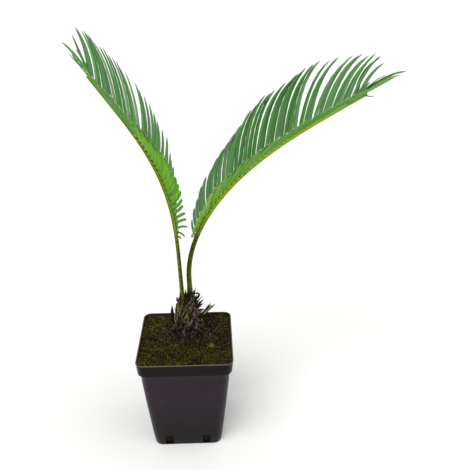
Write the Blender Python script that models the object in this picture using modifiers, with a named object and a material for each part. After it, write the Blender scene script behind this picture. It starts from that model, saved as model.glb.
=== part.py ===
"""Young sago palm in a square nursery pot.

A short scaly caudex carries two arching fronds. Metres, +Z up, origin at the
centre of the pot's flat underside.
"""
import math
import random

import bmesh
import bpy
import numpy as np
from mathutils import Matrix, Vector

MM = 0.001
GAP = 0.3 * MM

# Pot, a tapered square with a stepped collar
POT_HEIGHT = 105.0 * MM
POT_HALF_FOOT = 33.0 * MM
POT_HALF_STEP = 41.7 * MM
POT_HALF_COLLAR = 43.6 * MM
POT_HALF_RIM = 45.0 * MM
POT_STEP_Z = 92.0 * MM
POT_LEDGE = 0.6 * MM
POT_WALL = 1.5 * MM
POT_CORNER = 7.5 * MM
CORNER_SEGMENTS = 4
NOTCH_WIDTH = 7.5 * MM
NOTCH_HEIGHT = 11.0 * MM
NOTCH_SPREAD = 18.3 * MM
NOTCH_SILL = 1.0 * MM
NOTCH_DEPTH = 6.0 * MM

# Soil, a plug that fills the pot to just under its rim
SOIL_TOP = 101.6 * MM
SOIL_ROUGH = 0.9 * MM
SOIL_MOUND = 2.4 * MM
SOIL_MOUND_REACH = 24.0 * MM
SOIL_CELLS = 16
SOIL_SEED = 5

# Caudex, the short trunk with its old leaf bases; its radii are in mm
CAUDEX_FOOT = (2.5 * MM, 18.0 * MM)
CAUDEX_TOP = (0.5 * MM, 18.0 * MM)
CAUDEX_BOTTOM_Z = 97.0 * MM
CAUDEX_CROWN_Z = 139.0 * MM
CAUDEX_STATIONS = (0.0, 0.10, 0.30, 0.52, 0.74, 0.90, 1.0)
CAUDEX_RADII = (13.6, 13.8, 12.4, 10.6, 8.9, 8.0, 6.9)
CAUDEX_STEPS = 14
SCALE_COUNT = 24
SCALE_LENGTH = 9.5 * MM
SCALE_WIDTH = 6.4 * MM
SCALE_THICK = 3.2 * MM
SCALE_SINK = 2.2 * MM
SCALE_LOWEST = 5.0
SCALE_SPAN = 25.0
SCALE_LEAN = 24.0
SCALE_SEED = 11
GOLDEN_ANGLE = 137.508

# Crown scales, the pointed sheaths that stand round the frond stalks
SHEATH_COUNT = 7
SHEATH_RING = 5.9 * MM
SHEATH_WIDTH = 3.0 * MM
SHEATH_LENGTH = 15.0 * MM
SHEATH_SINK = 5.0 * MM

# Dry remains of older fronds; the hook's points are in mm
STUB_FOOT = (11.0 * MM, 16.5 * MM, 114.0 * MM)
STUB_TIP = (25.5 * MM, 16.0 * MM, 131.5 * MM)
STUB_RADIUS = 1.9 * MM
HOOK_POINTS = (
    (6.2, 16.0, 136.0),
    (9.2, 15.4, 141.5),
    (12.4, 14.8, 145.0),
    (15.6, 14.6, 144.8),
    (15.2, 14.7, 141.0),
)
HOOK_RADIUS = 0.75 * MM
SPIKE_FOOT = (-15.5 * MM, 36.0 * MM, 98.0 * MM)
SPIKE_LENGTH = 21.0 * MM
SPIKE_RADIUS = 1.9 * MM
SPIKE_TIP = 0.35 * MM

# Fronds, in mm and degrees. A stalk is bare below and carries two ranks of
# leaflets above. It starts straight and then bends over, along its arc, from
# its root's slope to its tip's. Angles, raise, length and curl of the leaflets
# are given at stations along the leafy part.
FRONDS = {
    "right": {
        "azimuth": 20.0,
        "root_out": 4.7,
        "root_z": 135.0,
        "straight": 25.0,
        "arc": 262.0,
        "bare": 65.0,
        "elevation_root": 91.7,
        "elevation_tip": 22.7,
        "bend_power": 2.65,
        "leaflet_pairs": 22,
        "split": 0.47,
        "angle_far": (35.0, 29.0, 31.0, 36.0, 28.0, 25.0),
        "angle_near": (34.0, 33.0, 33.0, 35.0, 28.0, 25.0),
        "raise_far": (45.0, 51.0, 35.0, 38.0),
        "raise_near": (45.0, 20.0, 25.0, 11.0),
        "length": (15.0, 46.0, 76.0, 89.0, 79.0, 40.0),
        "curl": (22.0, 12.0, 15.0, 12.0),
        "near_side": -1,
    },
    "left": {
        "azimuth": 178.0,
        "root_out": 3.25,
        "root_z": 134.8,
        "straight": 24.0,
        "arc": 209.0,
        "bare": 67.5,
        "elevation_root": 87.6,
        "elevation_tip": 54.2,
        "bend_power": 0.0,
        "bend_start": 0.08,
        "bend_span": 0.79,
        "leaflet_pairs": 22,
        "split": 0.50,
        "angle_far": (73.0, 64.0, 62.0, 40.0, 32.0, 31.0),
        "angle_near": (73.0, 68.0, 69.0, 58.0, 46.0, 42.0),
        "raise_far": (3.0, 11.0, 20.0, 33.0),
        "raise_near": (55.0, 24.0, 20.0, 18.0),
        "length": (12.0, 27.0, 56.0, 72.0, 67.0, 42.0),
        "curl": (21.0, 12.0, 19.0, 21.0),
        "near_side": 1,
    },
}
LEAF_STATIONS = (0.0, 0.15, 0.35, 0.60, 0.80, 1.0)
FAN_STATIONS = (0.0, 0.35, 0.70, 1.0)
STALK_RADIUS_ROOT = 2.3 * MM
STALK_RADIUS_BARE = 1.8 * MM
STALK_RADIUS_TIP = 0.8 * MM
STALK_STEP = 5.0 * MM
LEAFLET_FILL = 0.80
LEAFLET_MAX_WIDTH = 5.4 * MM
LEAFLET_THICK_SHARE = 0.0125
LEAFLET_THICK_LEAST = 0.6 * MM
LEAFLET_CUTS = (0.16, 0.58)
LEAFLET_STATIONS = (0.0, 0.16, 0.58, 1.0)
LEAFLET_BREADTHS = (0.55, 1.0, 1.0, 0.16)
LEAFLET_TIP_DEPTH = 0.6
FOOT_MARGIN = 2.5
SOCKET_DEPTH = 1.0
SOCKET_TOP = 45.0

# Colours, roughness and metallic share of each material
LOOKS = {
    "pot_plastic": ((0.035, 0.030, 0.030, 1.0), 0.55, 0.0),
    "potting_soil": ((0.030, 0.024, 0.012, 1.0), 0.95, 0.0),
    "caudex_bark": ((0.060, 0.045, 0.030, 1.0), 0.90, 0.0),
    "dry_stalk": ((0.075, 0.055, 0.035, 1.0), 0.85, 0.0),
    "petiole_green": ((0.110, 0.170, 0.030, 1.0), 0.50, 0.0),
    "leaflet_green": ((0.060, 0.190, 0.060, 1.0), 0.50, 0.0),
}


def clear_scene():
    for obj in list(bpy.data.objects):
        bpy.data.objects.remove(obj, do_unlink=True)


def make_collection(name):
    group = bpy.data.collections.new(name)
    bpy.context.scene.collection.children.link(group)
    return group


def make_material(name):
    colour, roughness, metallic = LOOKS[name]
    material = bpy.data.materials.new(name)
    material.use_nodes = True
    shader = material.node_tree.nodes["Principled BSDF"]
    shader.inputs["Base Color"].default_value = colour
    shader.inputs["Roughness"].default_value = roughness
    shader.inputs["Metallic"].default_value = metallic
    return material


def add_object(name, data, group):
    obj = bpy.data.objects.new(name, data)
    group.objects.link(obj)
    return obj


def mesh_object(name, bm, group):
    bmesh.ops.recalc_face_normals(bm, faces=bm.faces)
    mesh = bpy.data.meshes.new(name)
    bm.to_mesh(mesh)
    bm.free()
    return add_object(name, mesh, group)


def as_mesh(obj, group):
    """Replace an object by the mesh it evaluates to, with loose caps welded."""
    name = obj.name
    bpy.context.view_layer.update()
    graph = bpy.context.evaluated_depsgraph_get()
    mesh = bpy.data.meshes.new_from_object(obj.evaluated_get(graph))
    mesh.transform(obj.matrix_world)
    bpy.data.objects.remove(obj, do_unlink=True)
    bm = bmesh.new()
    bm.from_mesh(mesh)
    bmesh.ops.remove_doubles(bm, verts=bm.verts, dist=0.002 * MM)
    bm.to_mesh(mesh)
    bm.free()
    mesh.name = name
    return add_object(name, mesh, group)


def hide_cutter(obj):
    obj.hide_render = True
    obj.display_type = "WIRE"


def combine(target, operation, others, group):
    """Apply one Boolean with a collection of objects, then remove them."""
    pile = bpy.data.collections.new(target.name + "_pile")
    bpy.context.scene.collection.children.link(pile)
    for other in others:
        for owner in list(other.users_collection):
            owner.objects.unlink(other)
        pile.objects.link(other)
    cut = target.modifiers.new("combine", "BOOLEAN")
    cut.operation = operation
    cut.operand_type = "COLLECTION"
    cut.collection = pile
    cut.solver = "EXACT"
    result = as_mesh(target, group)
    for other in others:
        bpy.data.objects.remove(other, do_unlink=True)
    bpy.data.collections.remove(pile)
    return result


def finish(obj, material, angle=35.0):
    obj.data.materials.clear()
    obj.data.materials.append(material)
    obj.data.shade_smooth()
    obj.data.set_sharp_from_angle(angle=math.radians(angle))


def tube(name, points, radii, group, sides=2):
    """A round rod along points, as a bevelled curve with filled caps."""
    curve = bpy.data.curves.new(name, "CURVE")
    curve.dimensions = "3D"
    curve.bevel_depth = 1.0
    curve.bevel_resolution = sides
    curve.use_fill_caps = True
    spline = curve.splines.new("POLY")
    spline.points.add(len(points) - 1)
    for knot, point, radius in zip(spline.points, points, radii):
        knot.co = (point[0], point[1], point[2], 1.0)
        knot.radius = radius
    return as_mesh(add_object(name, curve, group), group)


def stacked_box(name, levels, corner, group):
    """A square block grown upward through (height, half width) levels."""
    bm = bmesh.new()
    bmesh.ops.create_cube(bm, size=2.0)
    for vert in bm.verts:
        height, half = levels[0] if vert.co.z < 0.0 else levels[1]
        vert.co = Vector((math.copysign(half, vert.co.x), math.copysign(half, vert.co.y), height))
    top = max(bm.faces, key=lambda face: face.calc_center_median().z)
    for height, half in levels[2:]:
        grown = bmesh.ops.extrude_face_region(bm, geom=[top])["geom"]
        top_verts = [item for item in grown if isinstance(item, bmesh.types.BMVert)]
        bmesh.ops.delete(bm, geom=[top], context="FACES_ONLY")
        for vert in top_verts:
            vert.co = Vector((math.copysign(half, vert.co.x), math.copysign(half, vert.co.y), height))
        top = next(item for item in grown if isinstance(item, bmesh.types.BMFace))
    edges = []
    for edge in bm.edges:
        a, b = edge.verts
        if a.co.x * b.co.x > 0.0 and a.co.y * b.co.y > 0.0:
            edges.append(edge)
    bmesh.ops.bevel(bm, geom=edges, offset=corner, segments=CORNER_SEGMENTS, profile=0.5, affect="EDGES")
    return mesh_object(name, bm, group)


def block(name, centre, size, group):
    bm = bmesh.new()
    bmesh.ops.create_cube(bm, size=1.0)
    bmesh.ops.scale(bm, vec=size, verts=bm.verts)
    bmesh.ops.translate(bm, vec=centre, verts=bm.verts)
    return mesh_object(name, bm, group)


def make_pot(parts, cutters, material):
    levels = [(0.0, POT_HALF_FOOT), (POT_STEP_Z, POT_HALF_STEP)]
    levels += [(POT_STEP_Z + POT_LEDGE, POT_HALF_COLLAR), (POT_HEIGHT, POT_HALF_RIM)]
    pot = stacked_box("pot", levels, POT_CORNER, parts)
    bm = bmesh.new()
    bm.from_mesh(pot.data)
    lid = [face for face in bm.faces if face.calc_center_median().z > POT_HEIGHT - 0.1 * MM]
    bmesh.ops.delete(bm, geom=lid, context="FACES_ONLY")
    bm.to_mesh(pot.data)
    bm.free()
    shell = pot.modifiers.new("wall", "SOLIDIFY")
    shell.thickness = POT_WALL
    shell.offset = -1.0
    shell.use_even_offset = True
    pot = as_mesh(pot, parts)
    notches = []
    for quarter in range(4):
        turn = Matrix.Rotation(math.radians(90.0 * quarter), 4, "Z")
        for side in (-1, 1):
            centre = turn @ Vector((side * NOTCH_SPREAD, -POT_HALF_FOOT, NOTCH_SILL + NOTCH_HEIGHT / 2))
            along = NOTCH_DEPTH if quarter % 2 == 0 else NOTCH_WIDTH
            across = NOTCH_WIDTH if quarter % 2 == 0 else NOTCH_DEPTH
            notch = block("notch", centre, (across, along, NOTCH_HEIGHT), cutters)
            hide_cutter(notch)
            notches.append(notch)
    pot = combine(pot, "DIFFERENCE", notches, parts)
    finish(pot, material)
    return pot


def make_soil(parts, cutters, material):
    inset = POT_WALL + 1.3 * GAP
    foot_z = POT_WALL + GAP
    ledge_z = POT_STEP_Z + POT_WALL + POT_LEDGE + 2.0 * GAP
    levels = [(foot_z, POT_HALF_FOOT - inset), (POT_STEP_Z - POT_WALL, POT_HALF_STEP - 1.1 * inset)]
    levels += [(ledge_z, POT_HALF_STEP - inset), (ledge_z + 0.2 * MM, POT_HALF_COLLAR - inset)]
    levels += [(POT_HEIGHT + 5.0 * MM, POT_HALF_RIM - inset)]
    soil = stacked_box("soil", levels, POT_CORNER - POT_WALL, parts)
    rng = random.Random(SOIL_SEED)
    half = POT_HALF_RIM + 3.0 * MM
    bm = bmesh.new()
    bmesh.ops.create_grid(bm, x_segments=SOIL_CELLS, y_segments=SOIL_CELLS, size=half)
    for vert in bm.verts:
        away = math.hypot(vert.co.x - CAUDEX_FOOT[0], vert.co.y - CAUDEX_FOOT[1])
        swell = SOIL_MOUND * math.exp(-((away / SOIL_MOUND_REACH) ** 2))
        vert.co.z = SOIL_TOP + swell + rng.uniform(-SOIL_ROUGH, SOIL_ROUGH)
    grown = bmesh.ops.extrude_face_region(bm, geom=list(bm.faces), use_keep_orig=True)["geom"]
    for item in grown:
        if isinstance(item, bmesh.types.BMVert):
            item.co.z = -10.0 * MM
    bmesh.ops.triangulate(bm, faces=list(bm.faces))
    slab = mesh_object("soil_slab", bm, cutters)
    hide_cutter(slab)
    soil = combine(soil, "INTERSECT", [slab], parts)
    wide = CAUDEX_RADII[1] * MM + 2.0 * GAP
    pit = cylinder("soil_pit", CAUDEX_FOOT, CAUDEX_BOTTOM_Z - GAP, POT_HEIGHT, wide, cutters)
    hide_cutter(pit)
    hole = tapered_rod("spike_pit", SPIKE_FOOT, GAP, cutters)
    hide_cutter(hole)
    soil = combine(soil, "DIFFERENCE", [pit, hole], parts)
    finish(soil, material, 60.0)
    return soil


def cylinder(name, centre, foot_z, height, radius, group):
    bm = bmesh.new()
    bmesh.ops.create_cone(bm, cap_ends=True, segments=24, radius1=radius, radius2=radius, depth=height)
    bmesh.ops.translate(bm, vec=(centre[0], centre[1], foot_z + height / 2), verts=bm.verts)
    return mesh_object(name, bm, group)


def tapered_rod(name, foot, margin, group):
    """The dead spike, a slim cone with its foot in the soil."""
    bm = bmesh.new()
    wide = SPIKE_RADIUS + margin
    slim = SPIKE_TIP + margin
    tall = SPIKE_LENGTH + 2.0 * margin
    bmesh.ops.create_cone(bm, cap_ends=True, segments=8, radius1=wide, radius2=slim, depth=tall)
    bmesh.ops.translate(bm, vec=(foot[0], foot[1], foot[2] - margin + tall / 2), verts=bm.verts)
    return mesh_object(name, bm, group)


def caudex_axis(height):
    share = (height - CAUDEX_BOTTOM_Z) / (CAUDEX_CROWN_Z - CAUDEX_BOTTOM_Z)
    x = CAUDEX_FOOT[0] + share * (CAUDEX_TOP[0] - CAUDEX_FOOT[0])
    y = CAUDEX_FOOT[1] + share * (CAUDEX_TOP[1] - CAUDEX_FOOT[1])
    return Vector((x, y, height))


def caudex_radius(height):
    share = (height - CAUDEX_BOTTOM_Z) / (CAUDEX_CROWN_Z - CAUDEX_BOTTOM_Z)
    return float(np.interp(share, CAUDEX_STATIONS, CAUDEX_RADII)) * MM


def pointed_scale(name, root, direction, outward, size, group):
    """A flat four-sided point: size is its width, thickness and length."""
    bm = bmesh.new()
    bmesh.ops.create_cone(bm, cap_ends=True, segments=4, radius1=0.5, radius2=0.16, depth=1.0)
    bmesh.ops.translate(bm, vec=(0.0, 0.0, 0.5), verts=bm.verts)
    bmesh.ops.scale(bm, vec=(1.414 * size[0], 1.414 * size[1], size[2]), verts=bm.verts)
    across = direction.cross(outward).normalized()
    facing = across.cross(direction).normalized()
    turn = Matrix((across, -facing, direction)).transposed().to_4x4()
    bmesh.ops.transform(bm, matrix=Matrix.Translation(root) @ turn, verts=bm.verts)
    return mesh_object(name, bm, group)


def make_caudex(parts, cutters, material, stalk_cutters):
    """A turned core with spiralled leaf bases and a ring of crown sheaths."""
    bm = bmesh.new()
    height = CAUDEX_CROWN_Z - CAUDEX_BOTTOM_Z
    chain = [bm.verts.new((0.0, 0.0, CAUDEX_CROWN_Z))]
    for share, radius in zip(reversed(CAUDEX_STATIONS), reversed(CAUDEX_RADII)):
        chain.append(bm.verts.new((radius * MM, 0.0, CAUDEX_BOTTOM_Z + share * height)))
    chain.append(bm.verts.new((0.0, 0.0, CAUDEX_BOTTOM_Z)))
    for upper, lower in zip(chain, chain[1:]):
        bm.edges.new((upper, lower))
    mesh = bpy.data.meshes.new("caudex")
    bm.to_mesh(mesh)
    bm.free()
    caudex = add_object("caudex", mesh, parts)
    turn = caudex.modifiers.new("turned", "SCREW")
    turn.steps = CAUDEX_STEPS
    turn.render_steps = CAUDEX_STEPS
    turn.use_merge_vertices = True
    turn.merge_threshold = 0.00001
    caudex = as_mesh(caudex, parts)
    for vert in caudex.data.vertices:
        axis = caudex_axis(vert.co.z)
        vert.co.x += axis.x
        vert.co.y += axis.y
    rng = random.Random(SCALE_SEED)
    pieces = []
    for index in range(SCALE_COUNT):
        share = (index + 0.5) / SCALE_COUNT
        bearing = math.radians(GOLDEN_ANGLE * index)
        outward = Vector((math.cos(bearing), math.sin(bearing), 0.0))
        root_z = CAUDEX_BOTTOM_Z + (SCALE_LOWEST + SCALE_SPAN * share) * MM
        lean = math.radians(SCALE_LEAN + rng.uniform(-6.0, 8.0))
        direction = (outward * math.sin(lean) + Vector((0.0, 0.0, math.cos(lean)))).normalized()
        root = caudex_axis(root_z) + outward * (caudex_radius(root_z) - SCALE_SINK)
        factor = 1.0 - 0.30 * share + rng.uniform(-0.08, 0.08)
        size = (SCALE_WIDTH * factor, SCALE_THICK * factor, SCALE_LENGTH * factor)
        pieces.append(pointed_scale("leaf_base", root, direction, outward, size, cutters))
    for index in range(SHEATH_COUNT):
        bearing = 2.0 * math.pi * (index + 0.25) / SHEATH_COUNT
        outward = Vector((math.cos(bearing), math.sin(bearing), 0.0))
        lean = math.radians(rng.uniform(3.0, 9.0))
        direction = (outward * math.sin(lean) + Vector((0.0, 0.0, math.cos(lean)))).normalized()
        root = caudex_axis(CAUDEX_CROWN_Z - SHEATH_SINK) + outward * SHEATH_RING
        factor = rng.uniform(0.75, 1.1)
        size = (SHEATH_WIDTH * factor, SHEATH_WIDTH * 0.6, SHEATH_LENGTH * factor)
        pieces.append(pointed_scale("crown_sheath", root, direction, outward, size, cutters))
    caudex = combine(caudex, "UNION", pieces, parts)
    caudex = combine(caudex, "DIFFERENCE", stalk_cutters, parts)
    finish(caudex, material, 40.0)
    return caudex


def stalk_elevation(frond, travelled):
    """Slope of the stalk, in degrees, at a distance in mm from its root."""
    share = min(max((travelled - frond["straight"]) / frond["arc"], 0.0), 1.0)
    if frond["bend_power"] > 0.0:
        ease = 1.0 - (1.0 - share) ** frond["bend_power"]
    else:
        late = min(max((share - frond["bend_start"]) / frond["bend_span"], 0.0), 1.0)
        ease = late * late * (3.0 - 2.0 * late)
    return frond["elevation_root"] + ease * (frond["elevation_tip"] - frond["elevation_root"])


def stalk_point(frond, travelled):
    """Place and direction on the stalk, walked from its root in 1 mm steps."""
    bearing = math.radians(frond["azimuth"])
    out = Vector((math.cos(bearing), math.sin(bearing), 0.0))
    place = Vector((CAUDEX_TOP[0], CAUDEX_TOP[1], frond["root_z"] * MM)) + out * frond["root_out"] * MM
    steps = max(1, int(math.ceil(travelled)))
    stride = travelled / steps
    for index in range(steps):
        slope = math.radians(stalk_elevation(frond, (index + 0.5) * stride))
        place = place + (out * math.cos(slope) + Vector((0.0, 0.0, math.sin(slope)))) * stride * MM
    slope = math.radians(stalk_elevation(frond, travelled))
    return place, out * math.cos(slope) + Vector((0.0, 0.0, math.sin(slope)))


def stalk_radius(frond, travelled):
    total = frond["straight"] + frond["arc"]
    stations = (0.0, frond["bare"], total)
    return float(np.interp(travelled, stations, (STALK_RADIUS_ROOT, STALK_RADIUS_BARE, STALK_RADIUS_TIP)))


def stalk_piece(name, frond, start, end, margin, group):
    count = max(2, int(round((end - start) * MM / STALK_STEP)))
    points = []
    radii = []
    for index in range(count + 1):
        travelled = start + (end - start) * index / count
        points.append(stalk_point(frond, travelled)[0])
        radii.append(stalk_radius(frond, travelled) + margin)
    return tube(name, points, radii, group, 1)


def leaflet(name, frond, share, side, spacing, group):
    """A flat point that leaves the stalk in its rank's plane and curls forward."""
    total = frond["straight"] + frond["arc"]
    travelled = frond["bare"] + share * (total - frond["bare"])
    root, tangent = stalk_point(frond, travelled)
    normal = (Vector((0.0, 0.0, 1.0)) - tangent * tangent.z).normalized()
    binormal = normal.cross(tangent)
    rank = "near" if side == frond["near_side"] else "far"
    angle = math.radians(float(np.interp(share, LEAF_STATIONS, frond["angle_" + rank])))
    lift = math.radians(float(np.interp(share, FAN_STATIONS, frond["raise_" + rank])))
    curl = math.radians(float(np.interp(share, FAN_STATIONS, frond["curl"])))
    length = float(np.interp(share, LEAF_STATIONS, frond["length"])) * MM
    outward = binormal * side * math.cos(lift) + normal * math.sin(lift)
    face = tangent.cross(outward).normalized()
    width = min(LEAFLET_MAX_WIDTH, LEAFLET_FILL * spacing * math.sin(angle) * MM)
    thick = max(LEAFLET_THICK_SHARE * length, LEAFLET_THICK_LEAST)
    bm = bmesh.new()
    bmesh.ops.create_cone(bm, cap_ends=True, segments=4, radius1=0.5, radius2=0.5, depth=1.0)
    bmesh.ops.translate(bm, vec=(0.0, 0.0, 0.5), verts=bm.verts)
    for cut in LEAFLET_CUTS:
        geometry = list(bm.verts) + list(bm.edges) + list(bm.faces)
        bmesh.ops.bisect_plane(bm, geom=geometry, plane_co=(0.0, 0.0, cut), plane_no=(0.0, 0.0, 1.0))
    for vert in bm.verts:
        along = vert.co.z
        heading = angle + curl * (0.5 - along)
        middle = angle + curl * (0.5 - 0.5 * along)
        place = root + (tangent * math.cos(middle) + outward * math.sin(middle)) * length * along
        across = -tangent * math.sin(heading) + outward * math.cos(heading)
        broad = float(np.interp(along, LEAFLET_STATIONS, LEAFLET_BREADTHS))
        deep = 1.0 + along * (LEAFLET_TIP_DEPTH - 1.0)
        vert.co = place + across * vert.co.x * width * broad + face * vert.co.y * thick * deep
    return mesh_object(name, bm, group)


def make_frond(key, parts, cutters, stalk_material, leaf_material):
    frond = FRONDS[key]
    total = frond["straight"] + frond["arc"]
    split = frond["bare"] + frond["split"] * (total - frond["bare"])
    half_gap = 0.5 * GAP / MM
    foot = frond["bare"] - FOOT_MARGIN
    petiole = stalk_piece("frond_" + key + "_petiole", frond, 0.0, foot - half_gap, 0.0, parts)
    finish(petiole, stalk_material)
    pairs = frond["leaflet_pairs"]
    spacing = (total - frond["bare"]) / pairs
    halves = (("lower", foot + half_gap, split - half_gap), ("upper", split + half_gap, total))
    for label, start, end in halves:
        blade = stalk_piece("frond_" + key + "_" + label, frond, start, end, 0.0, parts)
        pieces = []
        for index in range(pairs):
            share = (index + 0.5) / pairs
            travelled = frond["bare"] + share * (total - frond["bare"])
            if not start < travelled < end:
                continue
            for side in (-1, 1):
                pieces.append(leaflet("leaflet", frond, share, side, spacing, cutters))
        blade = combine(blade, "UNION", pieces, parts)
        finish(blade, leaf_material, 30.0)


def main():
    clear_scene()
    parts = make_collection("sago_palm_potted")
    cutters = make_collection("cutters")
    looks = {name: make_material(name) for name in LOOKS}
    make_pot(parts, cutters, looks["pot_plastic"])
    make_soil(parts, cutters, looks["potting_soil"])
    stub_line = (Vector(STUB_FOOT), Vector(STUB_TIP))
    back = (stub_line[0] - stub_line[1]).normalized()
    hook_line = [Vector(point) * MM for point in HOOK_POINTS]
    hook_back = (hook_line[0] - hook_line[1]).normalized() * GAP
    stalk_cutters = []
    for key in FRONDS:
        cutter = stalk_piece("stalk_cutter", FRONDS[key], -SOCKET_DEPTH, SOCKET_TOP, GAP, cutters)
        stalk_cutters.append(cutter)
    stub_hole = tube("stub_cutter", (stub_line[0] + back * GAP, stub_line[1]), [STUB_RADIUS + GAP] * 2, cutters, 1)
    stalk_cutters.append(stub_hole)
    widened = [HOOK_RADIUS + GAP] * len(hook_line)
    hook_hole = tube("hook_cutter", [hook_line[0] + hook_back] + hook_line[1:], widened, cutters, 1)
    stalk_cutters.append(hook_hole)
    for cutter in stalk_cutters:
        hide_cutter(cutter)
    make_caudex(parts, cutters, looks["caudex_bark"], stalk_cutters)
    stub = tube("dried_stub", stub_line, (STUB_RADIUS, 0.85 * STUB_RADIUS), parts, 1)
    finish(stub, looks["dry_stalk"])
    hook = tube("dried_hook", hook_line, [HOOK_RADIUS] * len(hook_line), parts, 1)
    finish(hook, looks["dry_stalk"])
    spike = tapered_rod("dead_spike", SPIKE_FOOT, 0.0, parts)
    finish(spike, looks["dry_stalk"])
    for key in FRONDS:
        make_frond(key, parts, cutters, looks["petiole_green"], looks["leaflet_green"])


main()
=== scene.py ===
"""Finished looks of a young sago palm in a square nursery pot.

Metres, +Z up, origin at the centre of the pot's flat underside. Lengths in the
tables below are in mm and angles in degrees.
"""

import functools
import math
import random

import bmesh
import bpy
import numpy as np
from mathutils import Euler, Matrix, Vector, noise


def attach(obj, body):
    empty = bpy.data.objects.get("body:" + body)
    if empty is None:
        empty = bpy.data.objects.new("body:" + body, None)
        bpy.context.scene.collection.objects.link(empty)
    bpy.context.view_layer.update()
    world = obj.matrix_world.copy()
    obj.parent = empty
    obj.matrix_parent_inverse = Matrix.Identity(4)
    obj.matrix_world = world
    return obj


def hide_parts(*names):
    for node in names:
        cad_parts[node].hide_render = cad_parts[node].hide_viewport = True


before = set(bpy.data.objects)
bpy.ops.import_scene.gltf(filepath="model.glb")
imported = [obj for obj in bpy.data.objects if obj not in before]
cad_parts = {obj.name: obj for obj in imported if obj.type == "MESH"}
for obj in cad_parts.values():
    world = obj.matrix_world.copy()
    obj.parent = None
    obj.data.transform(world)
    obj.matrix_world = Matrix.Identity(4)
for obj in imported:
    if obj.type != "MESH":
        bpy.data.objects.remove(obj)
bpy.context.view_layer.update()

MM = 0.001
UP = Vector((0.0, 0.0, 1.0))
TOWARDS_CAMERA = Vector((0.0, -1.0, 0.0))

# Camera, as the photograph was taken
PHOTO_SIDE = 470.0
FOCAL_PIXELS = 560.0
SENSOR = 36.0
CAMERA_PLACE = (0.028557, -0.458299, 0.421761)
CAMERA_PITCH = 0.42608
CAMERA_YAW = 0.04207

# Studio: lights as direction, strength and softness in degrees
FLOOR_RADIUS = 120.0
SURROUND = 0.62
LIGHTS = {
    "key_light": ((-0.50, -0.75, 1.15), 1.6, 45.0),
    "fill_light": ((0.9, -0.2, 0.8), 0.55, 60.0),
}

# Pot: (height, half width) levels outside, then back down inside
POT_OUTSIDE = (
    (0.0, 31.4), (0.0, 32.2), (0.35, 32.8), (1.1, 33.1), (12.0, 34.4), (30.0, 36.2), (50.0, 38.2),
    (70.0, 40.0), (84.0, 41.1), (91.5, 41.7), (91.85, 41.85), (91.95, 43.4), (92.1, 43.65),
    (92.6, 43.75), (98.0, 44.25), (103.4, 44.75), (104.3, 45.0), (104.8, 44.95), (105.0, 44.6),
)
POT_INSIDE = (
    (104.95, 44.1), (104.5, 43.75), (103.6, 43.5), (93.4, 42.1), (92.4, 40.7), (84.0, 39.7),
    (50.0, 36.7), (12.0, 32.8), (1.6, 31.6),
)
POT_WALL = 1.5
POT_CORNER = 7.8
POT_CORNER_STEPS = 10
COLLAR_FOOT = 92.0
NOTCH_WIDTH = 7.5
NOTCH_DEPTH = 7.0
NOTCH_HEIGHT = 11.0
NOTCH_SPREAD = 18.3
NOTCH_SILL = 1.0
# Bands up the wall: where each starts and is full, how full, and its colour. The first is painted
# shade that darkens the wall towards its foot, the second the collar's darker tone, and the third a
# pale rim line that is painted highlight and dust
POT_BANDS = (
    # Painted shade: the wall darkens towards its foot
    (62.0, 8.0, 0.9, "080507"),
    (91.5, 92.6, 1.0, "12080a"),
    # Painted highlight and dust: a pale line along the rim's top
    (104.2, 104.8, 0.9, "696250"),
)

# Soil. Its clods are (height, reach), and its walls are (height, half width) from the top down.
# What lies above SOIL_TOP_LOWEST belongs to its top.
SOIL_TOP = 101.6
SOIL_HALF = 43.1
SOIL_CORNER = POT_CORNER - 1.6
SOIL_MOUND = 2.4
SOIL_MOUND_REACH = 24.0
SOIL_BANK = 1.7
SOIL_BANK_START = 30.0
SOIL_BANK_WIDTH = 13.0
SOIL_CLODS = ((0.9, 11.0), (0.7, 4.2), (0.45, 1.9))
SOIL_CELLS = 110
SOIL_WALLS = ((93.8, 41.9), (91.0, 39.9), (1.8, 31.2))
SOIL_TOP_LOWEST = 95.0
# A moss cushion on the soil, as x, y and reach, and grains of perlite, as x and y
MOSS_TUFT = (25.2, -11.3, 3.2)
PALE_SPECKS = (
    (20.8, 32.5), (20.3, 17.0), (23.8, 7.2), (6.1, 5.4), (-23.5, 0.7), (-38.0, 24.0), (13.0, 4.0),
)
SPECK_REACH = 0.8

# Threads on the soil. A long one has its start, then how far it runs across and away
THREADS = 300
THREAD_FIELD = 40.0
THREAD_MARGIN = 2.0
THREAD_KNOTS = 7
THREAD_RISE = 0.35
LONG_THREADS = (
    (-38.0, 37.0, 24.0, -28.0), (-33.0, 9.0, 16.0, 30.0), (-36.0, 20.0, 20.0, 12.0),
    (-30.0, 30.0, 12.0, -22.0), (24.0, 6.0, 12.0, 22.0), (16.0, 8.0, 14.0, -16.0),
    (-28.0, 2.0, 15.0, 14.0),
)
LONG_THREAD_STEPS = 12
LONG_THREAD_RISE = 0.55

# Caudex, the short trunk
CAUDEX_FOOT = (2.5, 18.0)
CAUDEX_TOP = (0.5, 18.0)
CAUDEX_BOTTOM_Z = 97.0
CAUDEX_CROWN_Z = 139.0
CAUDEX_STATIONS = (0.0, 0.10, 0.30, 0.52, 0.74, 0.90, 1.0)
CAUDEX_RADII = (13.6, 13.8, 12.4, 10.6, 8.9, 8.0, 6.9)
GOLDEN_ANGLE = 137.508

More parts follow.
